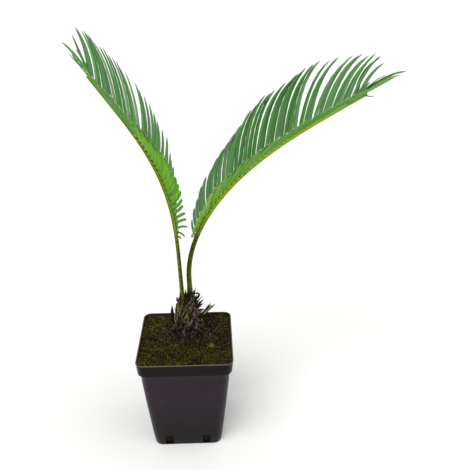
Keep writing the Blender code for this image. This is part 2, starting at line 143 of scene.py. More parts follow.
# What grows from the caudex. A taper is a blade's half widths from root to point; rises are
# heights above the caudex's foot. Its moss starts above the foot and ends below the crown.
LEAF_BASES = 120
LEAF_BASE_RISE = 33.0
LEAF_BASE_LENGTH = 20.0
LEAF_BASE_TAPER = (1.3, 1.6, 1.6, 1.4, 1.0, 0.3)
FOOT_STRAPS = 46
FOOT_STRAP_LENGTH = 8.5
FOOT_STRAP_TAPER = (1.2, 1.5, 1.4, 1.2, 0.8, 0.2)
SHEATHS = 52
OUTER_SHEATHS = 34
SHEATH_TAPER = (1.5, 1.7, 1.5, 1.1, 0.6, 0.12)
DRY_FIBRES = 210
DRY_FIBRE_TAPER = (1.0, 1.0, 0.9, 0.8, 0.6, 0.3)
MOSS_START = 6.0
MOSS_END = 2.0
MOSS_PROUD = 1.1

# Fibres in front of the caudex: x, z, then direction across and up, and length
FORKED_FIBRES = (
    (10.6, 128.5, 0.50, 0.86, 11.5), (13.0, 131.5, 0.90, 0.42, 4.5), (10.4, 130.0, 0.16, 0.98, 8.5),
    (11.0, 123.5, 0.88, 0.47, 6.5), (11.5, 119.0, 0.95, 0.30, 6.0), (9.5, 127.0, 0.70, 0.70, 6.5),
    (10.0, 126.0, 0.95, 0.20, 7.0), (12.0, 121.0, 0.60, 0.80, 5.0), (13.0, 117.0, 0.70, 0.70, 5.0),
)
DARK_CURLS = (
    (4.2, 133.0, 0.25, 0.97, 9.0), (5.8, 132.0, 0.50, 0.86, 8.5), (7.0, 130.0, 0.60, 0.80, 7.5),
    (3.4, 134.5, -0.1, 1.0, 7.0),
)

# Moss cushions on the front of the caudex: x, z and reach
CAUDEX_TUFTS = (
    (-8.5, 126.0, 3.4), (-7.2, 135.0, 3.2), (-9.0, 131.0, 3.2), (6.5, 132.0, 2.8), (3.0, 124.0, 2.6),
    (-0.5, 121.0, 2.6), (4.5, 129.5, 2.2), (9.0, 127.0, 2.6), (10.5, 121.0, 2.4), (12.0, 115.5, 3.0),
)

# Dry remains of older fronds
STUB_FOOT = (11.0, 16.5, 114.0)
STUB_TIP = (25.5, 16.0, 131.5)
HOOK_POINTS = (
    (6.5, 16.0, 135.0), (9.4, 15.4, 138.4), (12.6, 14.8, 141.6), (13.8, 14.6, 144.2),
    (12.0, 14.7, 145.8), (8.9, 14.8, 145.0),
)
HOOK_WIDTHS = (1.4, 1.3, 1.2, 1.1, 0.9, 0.5)
SPIKE_FOOT = (-15.5, 36.0, 98.0)
SPIKE_LENGTH = 21.0
SPIKE_WIDTHS = (1.0, 1.2, 1.6, 1.7, 1.2, 0.3)

# Sections of swept blades: sides, thickness to width, and how far the edges fold down
THREAD_SECTION = (5, 1.0, 0.0)
STRAP_SECTION = (10, 0.4, 0.2)
SHEATH_SECTION = (8, 0.3, 0.4)
STUB_SECTION = (10, 0.35, -0.5)
HOOK_SECTION = (8, 0.9, 0.0)
SPIKE_SECTION = (8, 0.7, 0.2)
STALK_SECTION = (16, 1.0, 0.0)
LEAFLET_SECTION = (16, 0.13, 0.34)

# What ranks of leaflets share where they say nothing else. rise lifts them off the stalk, first is
# where a rank starts, foot is how far up a leaflet its yellow foot reaches, and feet narrow its
# first three knots. droop and reach give, at shares of the leafy stalk, how far the leaflets sink
# and what part of their length they have.
PLAIN_RANK = {
    "rise": 0.0, "first": 0.0, "feet": (1.0, 1.0, 1.0), "foot": (0.06, 0.06, 0.05, 0.04, 0.04, 0.04, 0.04),
    "droop": ((0.0, 1.0), (0.0, 0.0)), "reach": ((0.0, 1.0), (1.0, 1.0)),
}

# Fronds. A stalk is bare below and carries two ranks of leaflets above. Tuples of seven are
# values at LEAF_STATIONS. fill is a leaflet's width to its spacing. gaps are wider gaps in a rank
# and their strength. shades are pairs of finishes for a leaflet's two halves, from a share of the
# leafy stalk on: the two tones of a pair are painted light and painted shade on the halves of the
# midrib's fold. extras are leaflets placed one by one at the frond's tip and foot: share, angle,
# lift, curl, hook, length, half width and the finishes of their halves.
FRONDS = {
    "right": {
        "azimuth": 20.0, "root_out": 4.7, "root_z": 135.0, "radii": (2.6, 2.15, 1.3),
        "straight": 25.0, "arc": 262.0, "bare": 65.0, "elevation_root": 91.7, "elevation_tip": 22.7,
        "bend_power": 2.65, "pairs": 41, "pairing": 0.8, "hooks": (), "seed": 3,
        "length": (15.0, 47.0, 78.0, 91.0, 83.0, 56.0, 48.0),
        "curl": (22.0, 17.5, 12.0, 14.0, 14.0, 12.0, 12.0),
        "far": PLAIN_RANK | {
            "side": 1, "twist": 9.0,
            "angle": (35.0, 29.0, 31.5, 36.5, 29.0, 27.0, 26.0),
            "lift": (45.0, 47.5, 51.0, 39.5, 36.0, 37.5, 38.0),
            "hook": (15.0, 24.0, 29.0, 26.0, 21.0, 15.0, 10.0),
            "fill": (1.33, 1.20, 1.11, 1.05, 1.08, 1.07, 1.05),
            "reach": ((0.925, 0.935, 1.0), (1.0, 0.33, 0.22)),
            "gaps": (
                (0.125, 1.0), (0.222, 0.6), (0.275, 0.5), (0.335, 0.8), (0.370, 0.4), (0.441, 0.5),
                (0.477, 0.8), (0.527, 0.4), (0.561, 0.4), (0.646, 2.4), (0.707, 2.4), (0.760, 0.6),
                (0.812, 0.7), (0.870, 0.9), (0.903, 0.6),
            ),
            "shades": (
                (0.0, ((2, 2), (2, 3), (2, 4))), (0.12, ((2, 4), (1, 2), (2, 1))),
                (0.28, ((1, 4), (0, 1), (1, 1), (2, 4))), (0.38, ((0, 1), (1, 4), (0, 4), (1, 0))),
                (0.62, ((1, 4), (2, 4), (1, 0))), (0.78, ((2, 4), (1, 4), (1, 2))),
            ),
            "extras": (
                (0.975, -0.7, 36.2, 27.4, 15.4, 45.8, 1.2, 1, 2),
                (0.94, 29.7, 26.2, 27.0, 26.1, 65.5, 1.9, 1, 4),
                (0.955, 24.3, 32.1, 17.6, 18.3, 52.2, 1.8, 2, 4),
                (0.972, 27.7, 36.1, 16.2, 19.3, 20.0, 1.1, 2, 4),
            ),
        },
        "near": PLAIN_RANK | {
            "side": -1, "twist": -20.0, "rise": 1.7,
            "angle": (62.0, 54.0, 50.0, 34.0, 24.0, 20.0, 12.0),
            "lift": (34.0, 39.2, 28.0, 23.4, 22.6, 15.6, 12.5),
            "hook": (20.0, 45.0, 50.0, 35.0, 28.0, 21.0, 20.0),
            "foot": (0.10, 0.16, 0.18, 0.16, 0.14, 0.12, 0.12),
            "fill": (1.20, 1.40, 1.30, 1.15, 1.05, 0.90, 0.80),
            "feet": (0.40, 0.62, 0.92),
            "reach": ((0.0, 0.3, 0.5, 0.8, 0.87, 0.91, 1.0), (0.7, 0.75, 0.88, 0.9, 0.8, 0.45, 0.3)),
            "gaps": ((0.9, 1.5),),
            "shades": (
                (0.0, ((3, 1), (3, 4), (4, 0))), (0.2, ((4, 1), (0, 1), (0, 3))),
                (0.33, ((1, 3), (2, 1), (0, 2))), (0.6, ((1, 3), (2, 3), (1, 2))),
            ),
            "extras": (
                (0.945, -4.6, 59.2, 47.6, 10.6, 64.1, 1.6, 1, 2),
                (0.90, 15.4, 25.1, 26.8, 18.0, 52.0, 1.7, 2, 3),
                (0.965, 15.6, 53.5, 45.7, 21.9, 32.7, 1.0, 1, 3),
                (0.985, 2.9, 52.5, 23.0, 15.0, 36.0, 1.5, 2, 1),
                (0.965, 34.0, -58.0, 8.0, 4.0, 15.0, 0.6, 2, 4),
                (0.33, 38.0, -60.0, 8.0, 4.0, 9.0, 0.7, 2, 2),
            ),
        },
    },
    "left": {
        "azimuth": 178.0, "root_out": 3.25, "root_z": 134.8, "radii": (2.1, 1.75, 1.15),
        "straight": 24.0, "arc": 209.0, "bare": 67.5, "elevation_root": 87.6, "elevation_tip": 54.2,
        "bend_start": 0.08, "bend_span": 0.79, "pairs": 35, "pairing": 0.7,
        "hooks": ((74.5, 7.6), (70.0, 3.5)), "seed": 8,
        "length": (11.0, 26.0, 57.0, 73.0, 67.0, 48.0, 44.0),
        "curl": (21.0, 17.0, 12.0, 17.0, 19.5, 20.5, 21.0),
        "far": PLAIN_RANK | {
            "side": -1, "twist": -9.0,
            "angle": (73.0, 64.0, 62.0, 40.0, 32.0, 31.0, 31.0),
            "lift": (3.0, 6.5, 11.0, 17.5, 24.5, 31.5, 33.0),
            "hook": (5.0, 15.0, 24.0, 24.0, 22.0, 18.0, 15.0),
            "fill": (1.20, 1.25, 1.12, 0.97, 0.90, 0.97, 0.97),
            "gaps": (
                (0.30, 0.8), (0.385, 0.8), (0.453, 1.8), (0.483, 0.9), (0.515, 1.6), (0.545, 0.9),
                (0.573, 3.8), (0.600, 0.9), (0.637, 1.9), (0.665, 0.8), (0.700, 1.0), (0.737, 1.5),
                (0.767, 1.3), (0.800, 1.4), (0.855, 1.5),
            ),
            "shades": (
                (0.0, ((1, 2), (2, 2), (2, 4))), (0.45, ((2, 2), (1, 4), (1, 2), (2, 3))),
                (0.6, ((2, 3), (1, 4), (2, 1))), (0.8, ((2, 1), (1, 4), (2, 3), (1, 2))),
            ),
            "extras": (
                (0.93, 17.4, 37.1, -20.9, 13.8, 46.3, 1.3, 4, 1),
                (0.95, 16.2, 28.6, 15.1, 9.2, 32.0, 1.2, 4, 1),
            ),
        },
        "near": PLAIN_RANK | {
            "side": 1, "twist": -20.0, "first": 0.055, "droop": ((0.0, 0.08, 0.22), (3.0, 2.0, 0.0)),
            "angle": (80.0, 58.0, 52.0, 54.0, 48.0, 42.0, 40.0),
            "lift": (60.0, 43.5, 28.5, 19.1, 16.4, 17.2, 17.9),
            "hook": (-75.0, 0.0, 58.0, 60.0, 50.0, 36.0, 32.0),
            "foot": (0.0, 0.04, 0.20, 0.16, 0.10, 0.08, 0.08),
            "fill": (0.50, 0.66, 1.05, 1.15, 1.10, 1.00, 0.90),
            "feet": (1.05, 1.08, 1.03),
            "reach": ((0.0, 0.15, 0.4, 0.7, 0.9, 0.96, 1.0), (1.0, 0.8, 0.8, 0.87, 0.95, 0.75, 0.6)),
            "gaps": ((0.02, 2.0), (0.08, 2.0), (0.14, 1.5)),
            "shades": (
                (0.0, ((3, 2), (3, 3), (1, 2))), (0.16, ((0, 1), (1, 0), (0, 2))),
                (0.45, ((0, 2), (1, 2), (0, 1))), (0.6, ((2, 3), (1, 2))),
                (0.75, ((2, 3), (2, 1), (1, 3))),
            ),
            "extras": (
                (0.93, 5.2, -16.0, -7.4, -7.9, 34.4, 1.0, 2, 4),
                (0.97, 0.0, 47.0, 29.3, 26.3, 38.5, 1.9, 2, 3),
            ),
        },
    },
}

# Stalks and what they carry. LEAF_STATIONS are shares of the leafy stalk, LEAFLET_KNOTS are shares
# of a leaflet's length, and breadths are its widths there when it is long, blunt or short.
STALK_STEPS = 72
SPINE_START = 14.0
SPINE_TAPER = (0.6, 0.55, 0.15)
DARK_HOOK_TAPER = (0.65, 0.75, 0.75, 0.75, 0.7, 0.45)
LEAF_STATIONS = (0.0, 0.15, 0.35, 0.60, 0.80, 0.965, 1.0)
LEAFLET_KNOTS = (0.0, 0.06, 0.18, 0.34, 0.50, 0.66, 0.80, 0.90, 0.96, 1.0)
LONG_BREADTHS = (0.80, 1.10, 1.12, 1.08, 1.01, 0.92, 0.80, 0.62, 0.38, 0.05)
BLUNT_BREADTHS = (0.80, 0.95, 1.00, 1.03, 1.05, 1.05, 1.03, 0.98, 0.84, 0.30)
SHORT_BREADTHS = (0.85, 1.02, 1.04, 1.04, 1.00, 0.92, 0.78, 0.58, 0.35, 0.07)
SHORT_LENGTH = 26.0
LONG_LENGTH = 60.0
# The least angle a leaflet's width is worked out for, in radians, and the most a half width can be:
# a length, and what each millimetre of the leaflet adds
LEAST_ANGLE = 0.32
WIDEST_HALF = (0.45, 0.06)
GAP_REACH = 0.030

# What sets the ranks apart on both fronds: the seat over the stalk's middle, as a share of its
# radius, how loosely the leaflets stand, where their points start, and the finishes of their
# margins and points
RANKS = {
    "far": {
        "seat": 0.6, "loose": 1.0, "tip_start": 0.88, "margin": "leaflet_margin_mauve",
        "tip": "leaflet_point_mauve",
    },
    "near": {
        "seat": 1.15, "loose": 0.45, "tip_start": 0.86, "margin": "leaflet_margin_grey_green",
        "tip": "leaflet_point_pale",
    },
}
MARGIN_START = 0.90

# Mottled finishes: colour stops, sizes of patch, grain and relief, roughness, specular level
MOTTLED_FINISHES = {
    # Crumbled peat: dry crumbs are paler than the wet ground between them
    "peat_crumb_dark": (((0.40, "070301"), (0.5, "1f1606"), (0.62, "655923")), 1.5, 0.5, 0.2, 0.95, 0.05),
    # Moss tips: yellow-green where the light reaches them
    "moss_tip_yellow_green": (
        ((0.38, "100e03"), (0.5, "353306"), (0.62, "7d7b1c")), 1.6, 0.4, 0.2, 0.9, 0.05,
    ),
    # Moss tuft: a small cushion of a paler, fresher kind
    "moss_tuft_fresh": (((0.36, "2a2a0b"), (0.5, "565618"), (0.64, "a09c5c")), 1.6, 0.4, 0.2, 0.9, 0.12),
    # Bark chips: wet composted bark, near black with a violet tinge
    "composted_bark_chip": (((0.3, "0a050a"), (0.55, "1b111c"), (0.75, "382c30")), 3.0, 0.6, 0.2, 0.85, 0.1),
    # Pale grit: perlite and straw ends, dull cream
    "perlite_dull_cream": (((0.3, "6d664a"), (0.7, "c4bfa4")), 1.5, 0.4, 0.1, 0.9, 0.2),
    # Old fibre and straw, dull and brittle
    "dry_straw": (((0.3, "443c1c"), (0.7, "7d7346")), 2.0, 0.4, 0.05, 0.85, 0.2),
    "dry_strap_edge_pale": (((0.3, "655e34"), (0.7, "b5ad80")), 2.0, 0.4, 0.05, 0.85, 0.2),
    "dry_fibre_dark": (((0.3, "0e0a07"), (0.7, "2a2216")), 2.0, 0.4, 0.05, 0.85, 0.15),
    # Bark of the caudex between its straps: brown, shaggy, in shade
    "caudex_bark_shaggy": (((0.3, "120c08"), (0.5, "2c2115"), (0.7, "51452f")), 3.0, 0.7, 0.5, 0.9, 0.15),
    # Old leaf bases: dead strap tissue, near black low down by the soil,
    # plum-brown above it, grey-brown where dry, yellow-green where moss has taken
    "leaf_base_plum_brown": (
        ((0.40, "171016"), (0.53, "4a3e36"), (0.67, "85775f")), 2.4, 0.5, 0.3, 0.8, 0.2,
    ),
    "leaf_base_grey_brown": (
        ((0.40, "2a2018"), (0.53, "665a44"), (0.67, "b8ab80")), 2.4, 0.5, 0.3, 0.85, 0.2,
    ),
    "leaf_base_mossy": (((0.40, "2a240f"), (0.52, "57521d"), (0.64, "8e8b34")), 1.8, 0.5, 0.3, 0.9, 0.15),
    "leaf_base_wet_dark": (
        ((0.40, "0d080c"), (0.53, "2a2122"), (0.68, "5a4d3f")), 2.4, 0.5, 0.3, 0.85, 0.12,
    ),
    # Moss on the caudex: brighter than on the soil, as it stands in the light
    "moss_cushion_bright": (((0.38, "3a350c"), (0.5, "7a761c"), (0.62, "bdb94a")), 1.4, 0.4, 0.2, 0.9, 0.12),
    # Spines: hard olive-brown points
    "spine_olive_brown": (((0.3, "191304"), (0.7, "2e2708")), 1.5, 0.4, 0.05, 0.7, 0.15),
}
FIBRE_FINISHES = ("dry_fibre_dark", "dry_straw")
LEAF_BASE_FINISHES = (
    "leaf_base_plum_brown", "leaf_base_grey_brown", "leaf_base_mossy", "leaf_base_wet_dark",
)

# Stalk finishes: colour stops from the under to the upper side, on the bare part and further out.
# Besides the stalk's own olive and yellow-green, the stops paint light and shade round it by which
# way each side faces
STALK_FINISHES = {
    "right": (
        "petiole_waxy_olive", ((0.05, "425c10"), (0.30, "536c10"), (0.62, "4f5d0e"), (0.92, "393e0c")),
        ((0.20, "3c3a08"), (0.34, "869809"), (0.55, "98bc18"), (0.9, "80ac2c")),
    ),
    "left": (
        "petiole_waxy_green", ((0.05, "526116"), (0.30, "6a7a1c"), (0.62, "5a6914"), (0.86, "353b0e")),
        ((0.12, "3c3c08"), (0.34, "66740b"), (0.55, "84a00d"), (0.9, "5a8f2a")),
    ),
}

# Leaflet finishes: colour, roughness and specular level
LEAFLET_FACES = {
    # Upper faces: deep leathery green under a thin grey wax, with a mauve cast where it is thick.
    # Paired with a green, the mauve also serves as painted shade on one half of a leaflet's fold
    "leaflet_upper_deep": ("306f24", 0.45, 0.12),
    "leaflet_upper_mid": ("427f36", 0.45, 0.12),
    "leaflet_upper_grey": ("5d8e55", 0.50, 0.12),
    "leaflet_upper_pale": ("759b66", 0.52, 0.12),
    "leaflet_upper_mauve": ("5d7a56", 0.55, 0.12),
    # Under faces: yellow-green, duller than the upper
    "leaflet_under_bright": ("6fae1e", 0.6, 0.05),
    "leaflet_under_mid": ("5a981e", 0.6, 0.05),
    "leaflet_under_deep": ("4a863a", 0.6, 0.05),
    "leaflet_under_grey": ("6d9c58", 0.6, 0.05),
    "leaflet_under_pale": ("8fb545", 0.6, 0.05),
}
LEAFLET_TRIMS = {
    # Where a leaflet joins the stalk: yellow, as the stalk is
    "leaflet_foot_yellow": ("78a60a", 0.6, 0.05),
    # Rolled margins: hardened, dull mauve-grey on the far rank and pale green on the near one
    "leaflet_margin_mauve": ("8b987c", 0.6, 0.12),
    "leaflet_margin_grey_green": ("93b57a", 0.6, 0.05),
    # Leaflet points: hardened and dull in the same two ways
    "leaflet_point_mauve": ("737a6c", 0.6, 0.12),
    "leaflet_point_pale": ("b4cda2", 0.6, 0.12),
}

# Facts that each point of a line carries to its blade, beside which way its upper face looks
LINE_FACTS = ("width", "shade", "fellow", "along", "foot")

materials = bpy.data.materials
collection = bpy.data.collections.new("sago_palm_looks")
bpy.context.scene.collection.children.link(collection)


def linear(code):
    """The shader's linear colour for an sRGB hex code."""
    shares = [int(code[start:start + 2], 16) / 255.0 for start in (0, 2, 4)]
    return [s / 12.92 if s <= 0.04045 else ((s + 0.055) / 1.055) ** 2.4 for s in shares] + [1.0]


def feed(node, wires):
    """Set a node's inputs, each to a value, to a socket or to a node's first output."""
    for key, value in wires.items():
        if isinstance(value, bpy.types.Node):
            value = value.outputs[0]
        if isinstance(value, bpy.types.NodeSocket):
            node.id_data.links.new(value, node.inputs[key])
        else:
            node.inputs[key].default_value = value


def add_node(tree, kind, wires=None, stops=None, **settings):
    """Add a node. wires go to feed, and stops are the colours of a ramp."""
    made = tree.nodes.new(kind)
    for name, value in settings.items():
        setattr(made, name, value)
    feed(made, wires or {})
    if stops:
        ramp = made.color_ramp
        while len(ramp.elements) < len(stops):
            ramp.elements.new(0.5)
        for element, (place, code) in zip(ramp.elements, stops):
            element.position = place
            element.color = linear(code)
    return made


def new_finish(name, roughness, specular, ior=1.5):
    """A Principled shader with its constants on its own sockets, and what adds nodes beside it."""
    material = materials.new(name)
    material.use_nodes = True
    shader = material.node_tree.nodes["Principled BSDF"]
    feed(shader, {"Roughness": roughness, "Specular IOR Level": specular, "IOR": ior})
    return shader, functools.partial(add_node, material.node_tree)


def mottled(name, stops, patch, grain, relief, roughness, specular):
    """A finish whose colour wanders in patches and whose surface is grained, sizes in mm."""
    shader, add = new_finish(name, roughness, specular)
    place = add("ShaderNodeTexCoord").outputs["Object"]
    wander = add("ShaderNodeTexNoise",
                 {"Vector": place, "Scale": 1.0 / (patch * MM), "Detail": 6.0, "Roughness": 0.62})
    fine = add("ShaderNodeTexNoise", {"Vector": place, "Scale": 1.0 / (grain * MM), "Detail": 4.0})
    bump = add("ShaderNodeBump", {"Strength": 0.8, "Distance": relief * MM, "Height": fine})
    feed(shader, {"Base Color": add("ShaderNodeValToRGB", {0: wander}, stops), "Normal": bump})


def pot_polypropylene(name, sheen, specular):
    """Recycled black polypropylene, injection moulded: satin with a plum cast, dusty at the foot, with
    painted shade on the lower wall and painted highlight and dust on the rim.
    """
    shader, add = new_finish(name, 0.36, specular, 1.49)
    feed(shader, {"Sheen Weight": sheen, "Sheen Roughness": 0.25, "Sheen Tint": linear("cfc4ce")})
    place = add("ShaderNodeTexCoord").outputs["Object"]
    height = add("ShaderNodeSeparateXYZ", {0: place}).outputs[2]
    film = add("ShaderNodeTexNoise",
               {"Vector": place, "Scale": 1.0 / (22.0 * MM), "Detail": 5.0, "Roughness": 0.55})
    skin = add("ShaderNodeValToRGB", {0: film}, ((0.32, "20171f"), (0.55, "241a23"), (0.75, "2c202a")))
    soiled = add("ShaderNodeMapRange", {0: height, 1: 26.0 * MM, 2: 2.0 * MM})
    speckle = add("ShaderNodeTexNoise", {"Vector": place, "Scale": 1.0 / (2.2 * MM), "Detail": 3.0})
    dust = add("ShaderNodeMath", {0: soiled, 1: speckle}, operation="MULTIPLY")
    colour = add("ShaderNodeMix", {0: dust, 6: skin, 7: linear("2a2019")}, data_type="RGBA").outputs[2]
    # The bands paint shade on the lower wall and a highlight with dust on the rim, and darken the collar
    for start, full, share, code in POT_BANDS:
        band = add("ShaderNodeMapRange", {0: height, 1: start * MM, 2: full * MM, 4: share})
        colour = add("ShaderNodeMix", {0: band, 6: colour, 7: linear(code)}, data_type="RGBA").outputs[2]
    wear = add("ShaderNodeMapRange", {0: film, 3: 0.28, 4: 0.44})
    pebble = add("ShaderNodeTexNoise", {"Vector": place, "Scale": 1.0 / (0.9 * MM), "Detail": 2.0})
    bump = add("ShaderNodeBump", {"Strength": 0.35, "Distance": 0.05 * MM, "Height": pebble})
    feed(shader, {"Base Color": colour, "Roughness": wear, "Normal": bump})


def peat_compost(name):
    """Moist peat compost with a moss bloom: near-black brown with olive patches, no gloss."""
    shader, add = new_finish(name, 0.92, 0.12)
    place = add("ShaderNodeTexCoord").outputs["Object"]
    clod = add("ShaderNodeTexNoise",
               {"Vector": place, "Scale": 1.0 / (4.0 * MM), "Detail": 8.0, "Roughness": 0.7})
    peat = add("ShaderNodeValToRGB", {0: clod}, ((0.32, "0a0502"), (0.50, "1e1406"), (0.68, "413310")))
    green = add("ShaderNodeValToRGB", {0: clod}, ((0.35, "1d1904"), (0.65, "423b0d")))
    bloom = add("ShaderNodeAttribute", attribute_name="moss").outputs["Fac"]
    ground = add("ShaderNodeMix", {0: bloom, 6: peat, 7: green}, data_type="RGBA").outputs[2]
    fine = add("ShaderNodeTexNoise",
               {"Vector": place, "Scale": 1.0 / (0.8 * MM), "Detail": 5.0, "Roughness": 0.7})
    bump = add("ShaderNodeBump", {"Strength": 1.0, "Distance": 0.5 * MM, "Height": fine})
    feed(shader, {"Base Color": ground, "Normal": bump})


def stalk_skin(name, low_stops, high_stops):
    """Living petiole and rachis: a waxy green cylinder, darker low down, dark where it is buried, with light
    and shade painted round it by which way each side faces.
    """
    shader, add = new_finish(name, 0.65, 0.03, 1.45)
    place = add("ShaderNodeTexCoord").outputs["Object"]
    facing = add("ShaderNodeAttribute", attribute_name="facing").outputs["Fac"]
    along = add("ShaderNodeAttribute", attribute_name="along").outputs["Fac"]
    turned = add("ShaderNodeMapRange", {0: facing, 1: -1.0, 2: 1.0})
    # The ramps across turned hold the stalk's own tones and painted light and shade by which way a side
    # faces
    colour = add("ShaderNodeValToRGB", {0: turned}, low_stops)
    high = add("ShaderNodeValToRGB", {0: turned}, high_stops)
    out = add("ShaderNodeMapRange", {0: along, 1: 0.22, 2: 0.36})
    buried = add("ShaderNodeMapRange", {0: along, 1: 0.055, 2: 0.015, 4: 0.9})
    fleck = add("ShaderNodeTexNoise", {"Vector": place, "Scale": 1.0 / (1.6 * MM), "Detail": 3.0})
    spots = add("ShaderNodeMapRange", {0: fleck, 1: 0.56, 2: 0.68, 4: 0.45})
    for share, cover in ((out, high), (buried, linear("24230a")), (spots, linear("3a350f"))):
        colour = add("ShaderNodeMix", {0: share, 6: colour, 7: cover}, data_type="RGBA").outputs[2]
    bump = add("ShaderNodeBump", {"Strength": 0.4, "Distance": 0.12 * MM, "Height": fleck})
    feed(shader, {"Base Color": colour, "Normal": bump})


def leaflet_skin(name, code, roughness, specular):
    """Leathery cycad leaflet: one plain colour, with fine lengthwise ridges in the wax."""
    shader, add = new_finish(name, roughness, specular, 1.45)
    across = add("ShaderNodeAttribute", attribute_name="across").outputs["Fac"]
    along = add("ShaderNodeAttribute", attribute_name="along").outputs["Fac"]
    lines = add("ShaderNodeCombineXYZ", {0: across, 1: along})
    vein = add("ShaderNodeTexNoise", {"Vector": lines, "Scale": 7.0, "Detail": 2.0})
    bump = add("ShaderNodeBump", {"Strength": 0.3, "Distance": 0.06 * MM, "Height": vein})
    feed(shader, {"Base Color": linear(code), "Normal": bump})


def matt_floor_paint(name):
    """Matt white studio floor."""
    shader, add = new_finish(name, 0.9, 0.2)
    feed(shader, {"Base Color": linear("fbfbfa")})


def make_finishes():
    """Every finish, known from here on by its name."""
    matt_floor_paint("studio_floor_matt")
    pot_polypropylene("black_polypropylene_moulded", 0.13, 0.16)
    pot_polypropylene("black_polypropylene_collar_dull", 0.03, 0.11)
    peat_compost("peat_compost_moist")
    for name, values in MOTTLED_FINISHES.items():
        mottled(name, *values)
    for values in STALK_FINISHES.values():
        stalk_skin(*values)
    for name, values in (LEAFLET_FACES | LEAFLET_TRIMS).items():
        leaflet_skin(name, *values)


def link(name, mesh):
    piece = bpy.data.objects.new(name, mesh)
    collection.objects.link(piece)
    return piece


def plain_mesh(name, bm, finish, sharp=40.0):
    """Turn a bmesh into a shaded piece at the origin, its faces pointing out."""
    bmesh.ops.recalc_face_normals(bm, faces=bm.faces)
    mesh = bpy.data.meshes.new(name)
    bm.to_mesh(mesh)
    bm.free()
    mesh.materials.append(materials[finish])
    mesh.shade_smooth()
    mesh.set_sharp_from_angle(angle=math.radians(sharp))
    return link(name, mesh)


def evaluated_mesh(piece):
    """What a piece's modifiers make of it, as a plain mesh, with the modifiers removed."""
    bpy.context.view_layer.update()
    mesh = bpy.data.meshes.new_from_object(piece.evaluated_get(bpy.context.evaluated_depsgraph_get()))
    piece.modifiers.clear()
    return mesh


def grow(name, mesh, tree, values):
    """Run a Geometry Nodes tree over a mesh and keep the result as a plain mesh."""
    piece = link(name, mesh)
    modifier = piece.modifiers.new(tree.name, "NODES")
    modifier.node_group = tree
    for item in tree.interface.items_tree:
        if item.in_out == "INPUT" and item.name in values:
            modifier[item.identifier] = values[item.name]
    piece.data = evaluated_mesh(piece)
    piece.data.name = name
    return piece


def start_tree(name, inputs):
    """A Geometry Nodes tree with named inputs, what adds nodes to it, and what the inputs give."""
    tree = bpy.data.node_groups.new(name, "GeometryNodeTree")
    tree.interface.new_socket("Geometry", in_out="INPUT", socket_type="NodeSocketGeometry")
    for label, value in inputs.items():
        kind = "NodeSocketInt" if isinstance(value, int) else "NodeSocketFloat"
        tree.interface.new_socket(label, in_out="INPUT", socket_type=kind).default_value = value
    tree.interface.new_socket("Geometry", in_out="OUTPUT", socket_type="NodeSocketGeometry")
    add = functools.partial(add_node, tree)
    return tree, add, add("NodeGroupInput").outputs


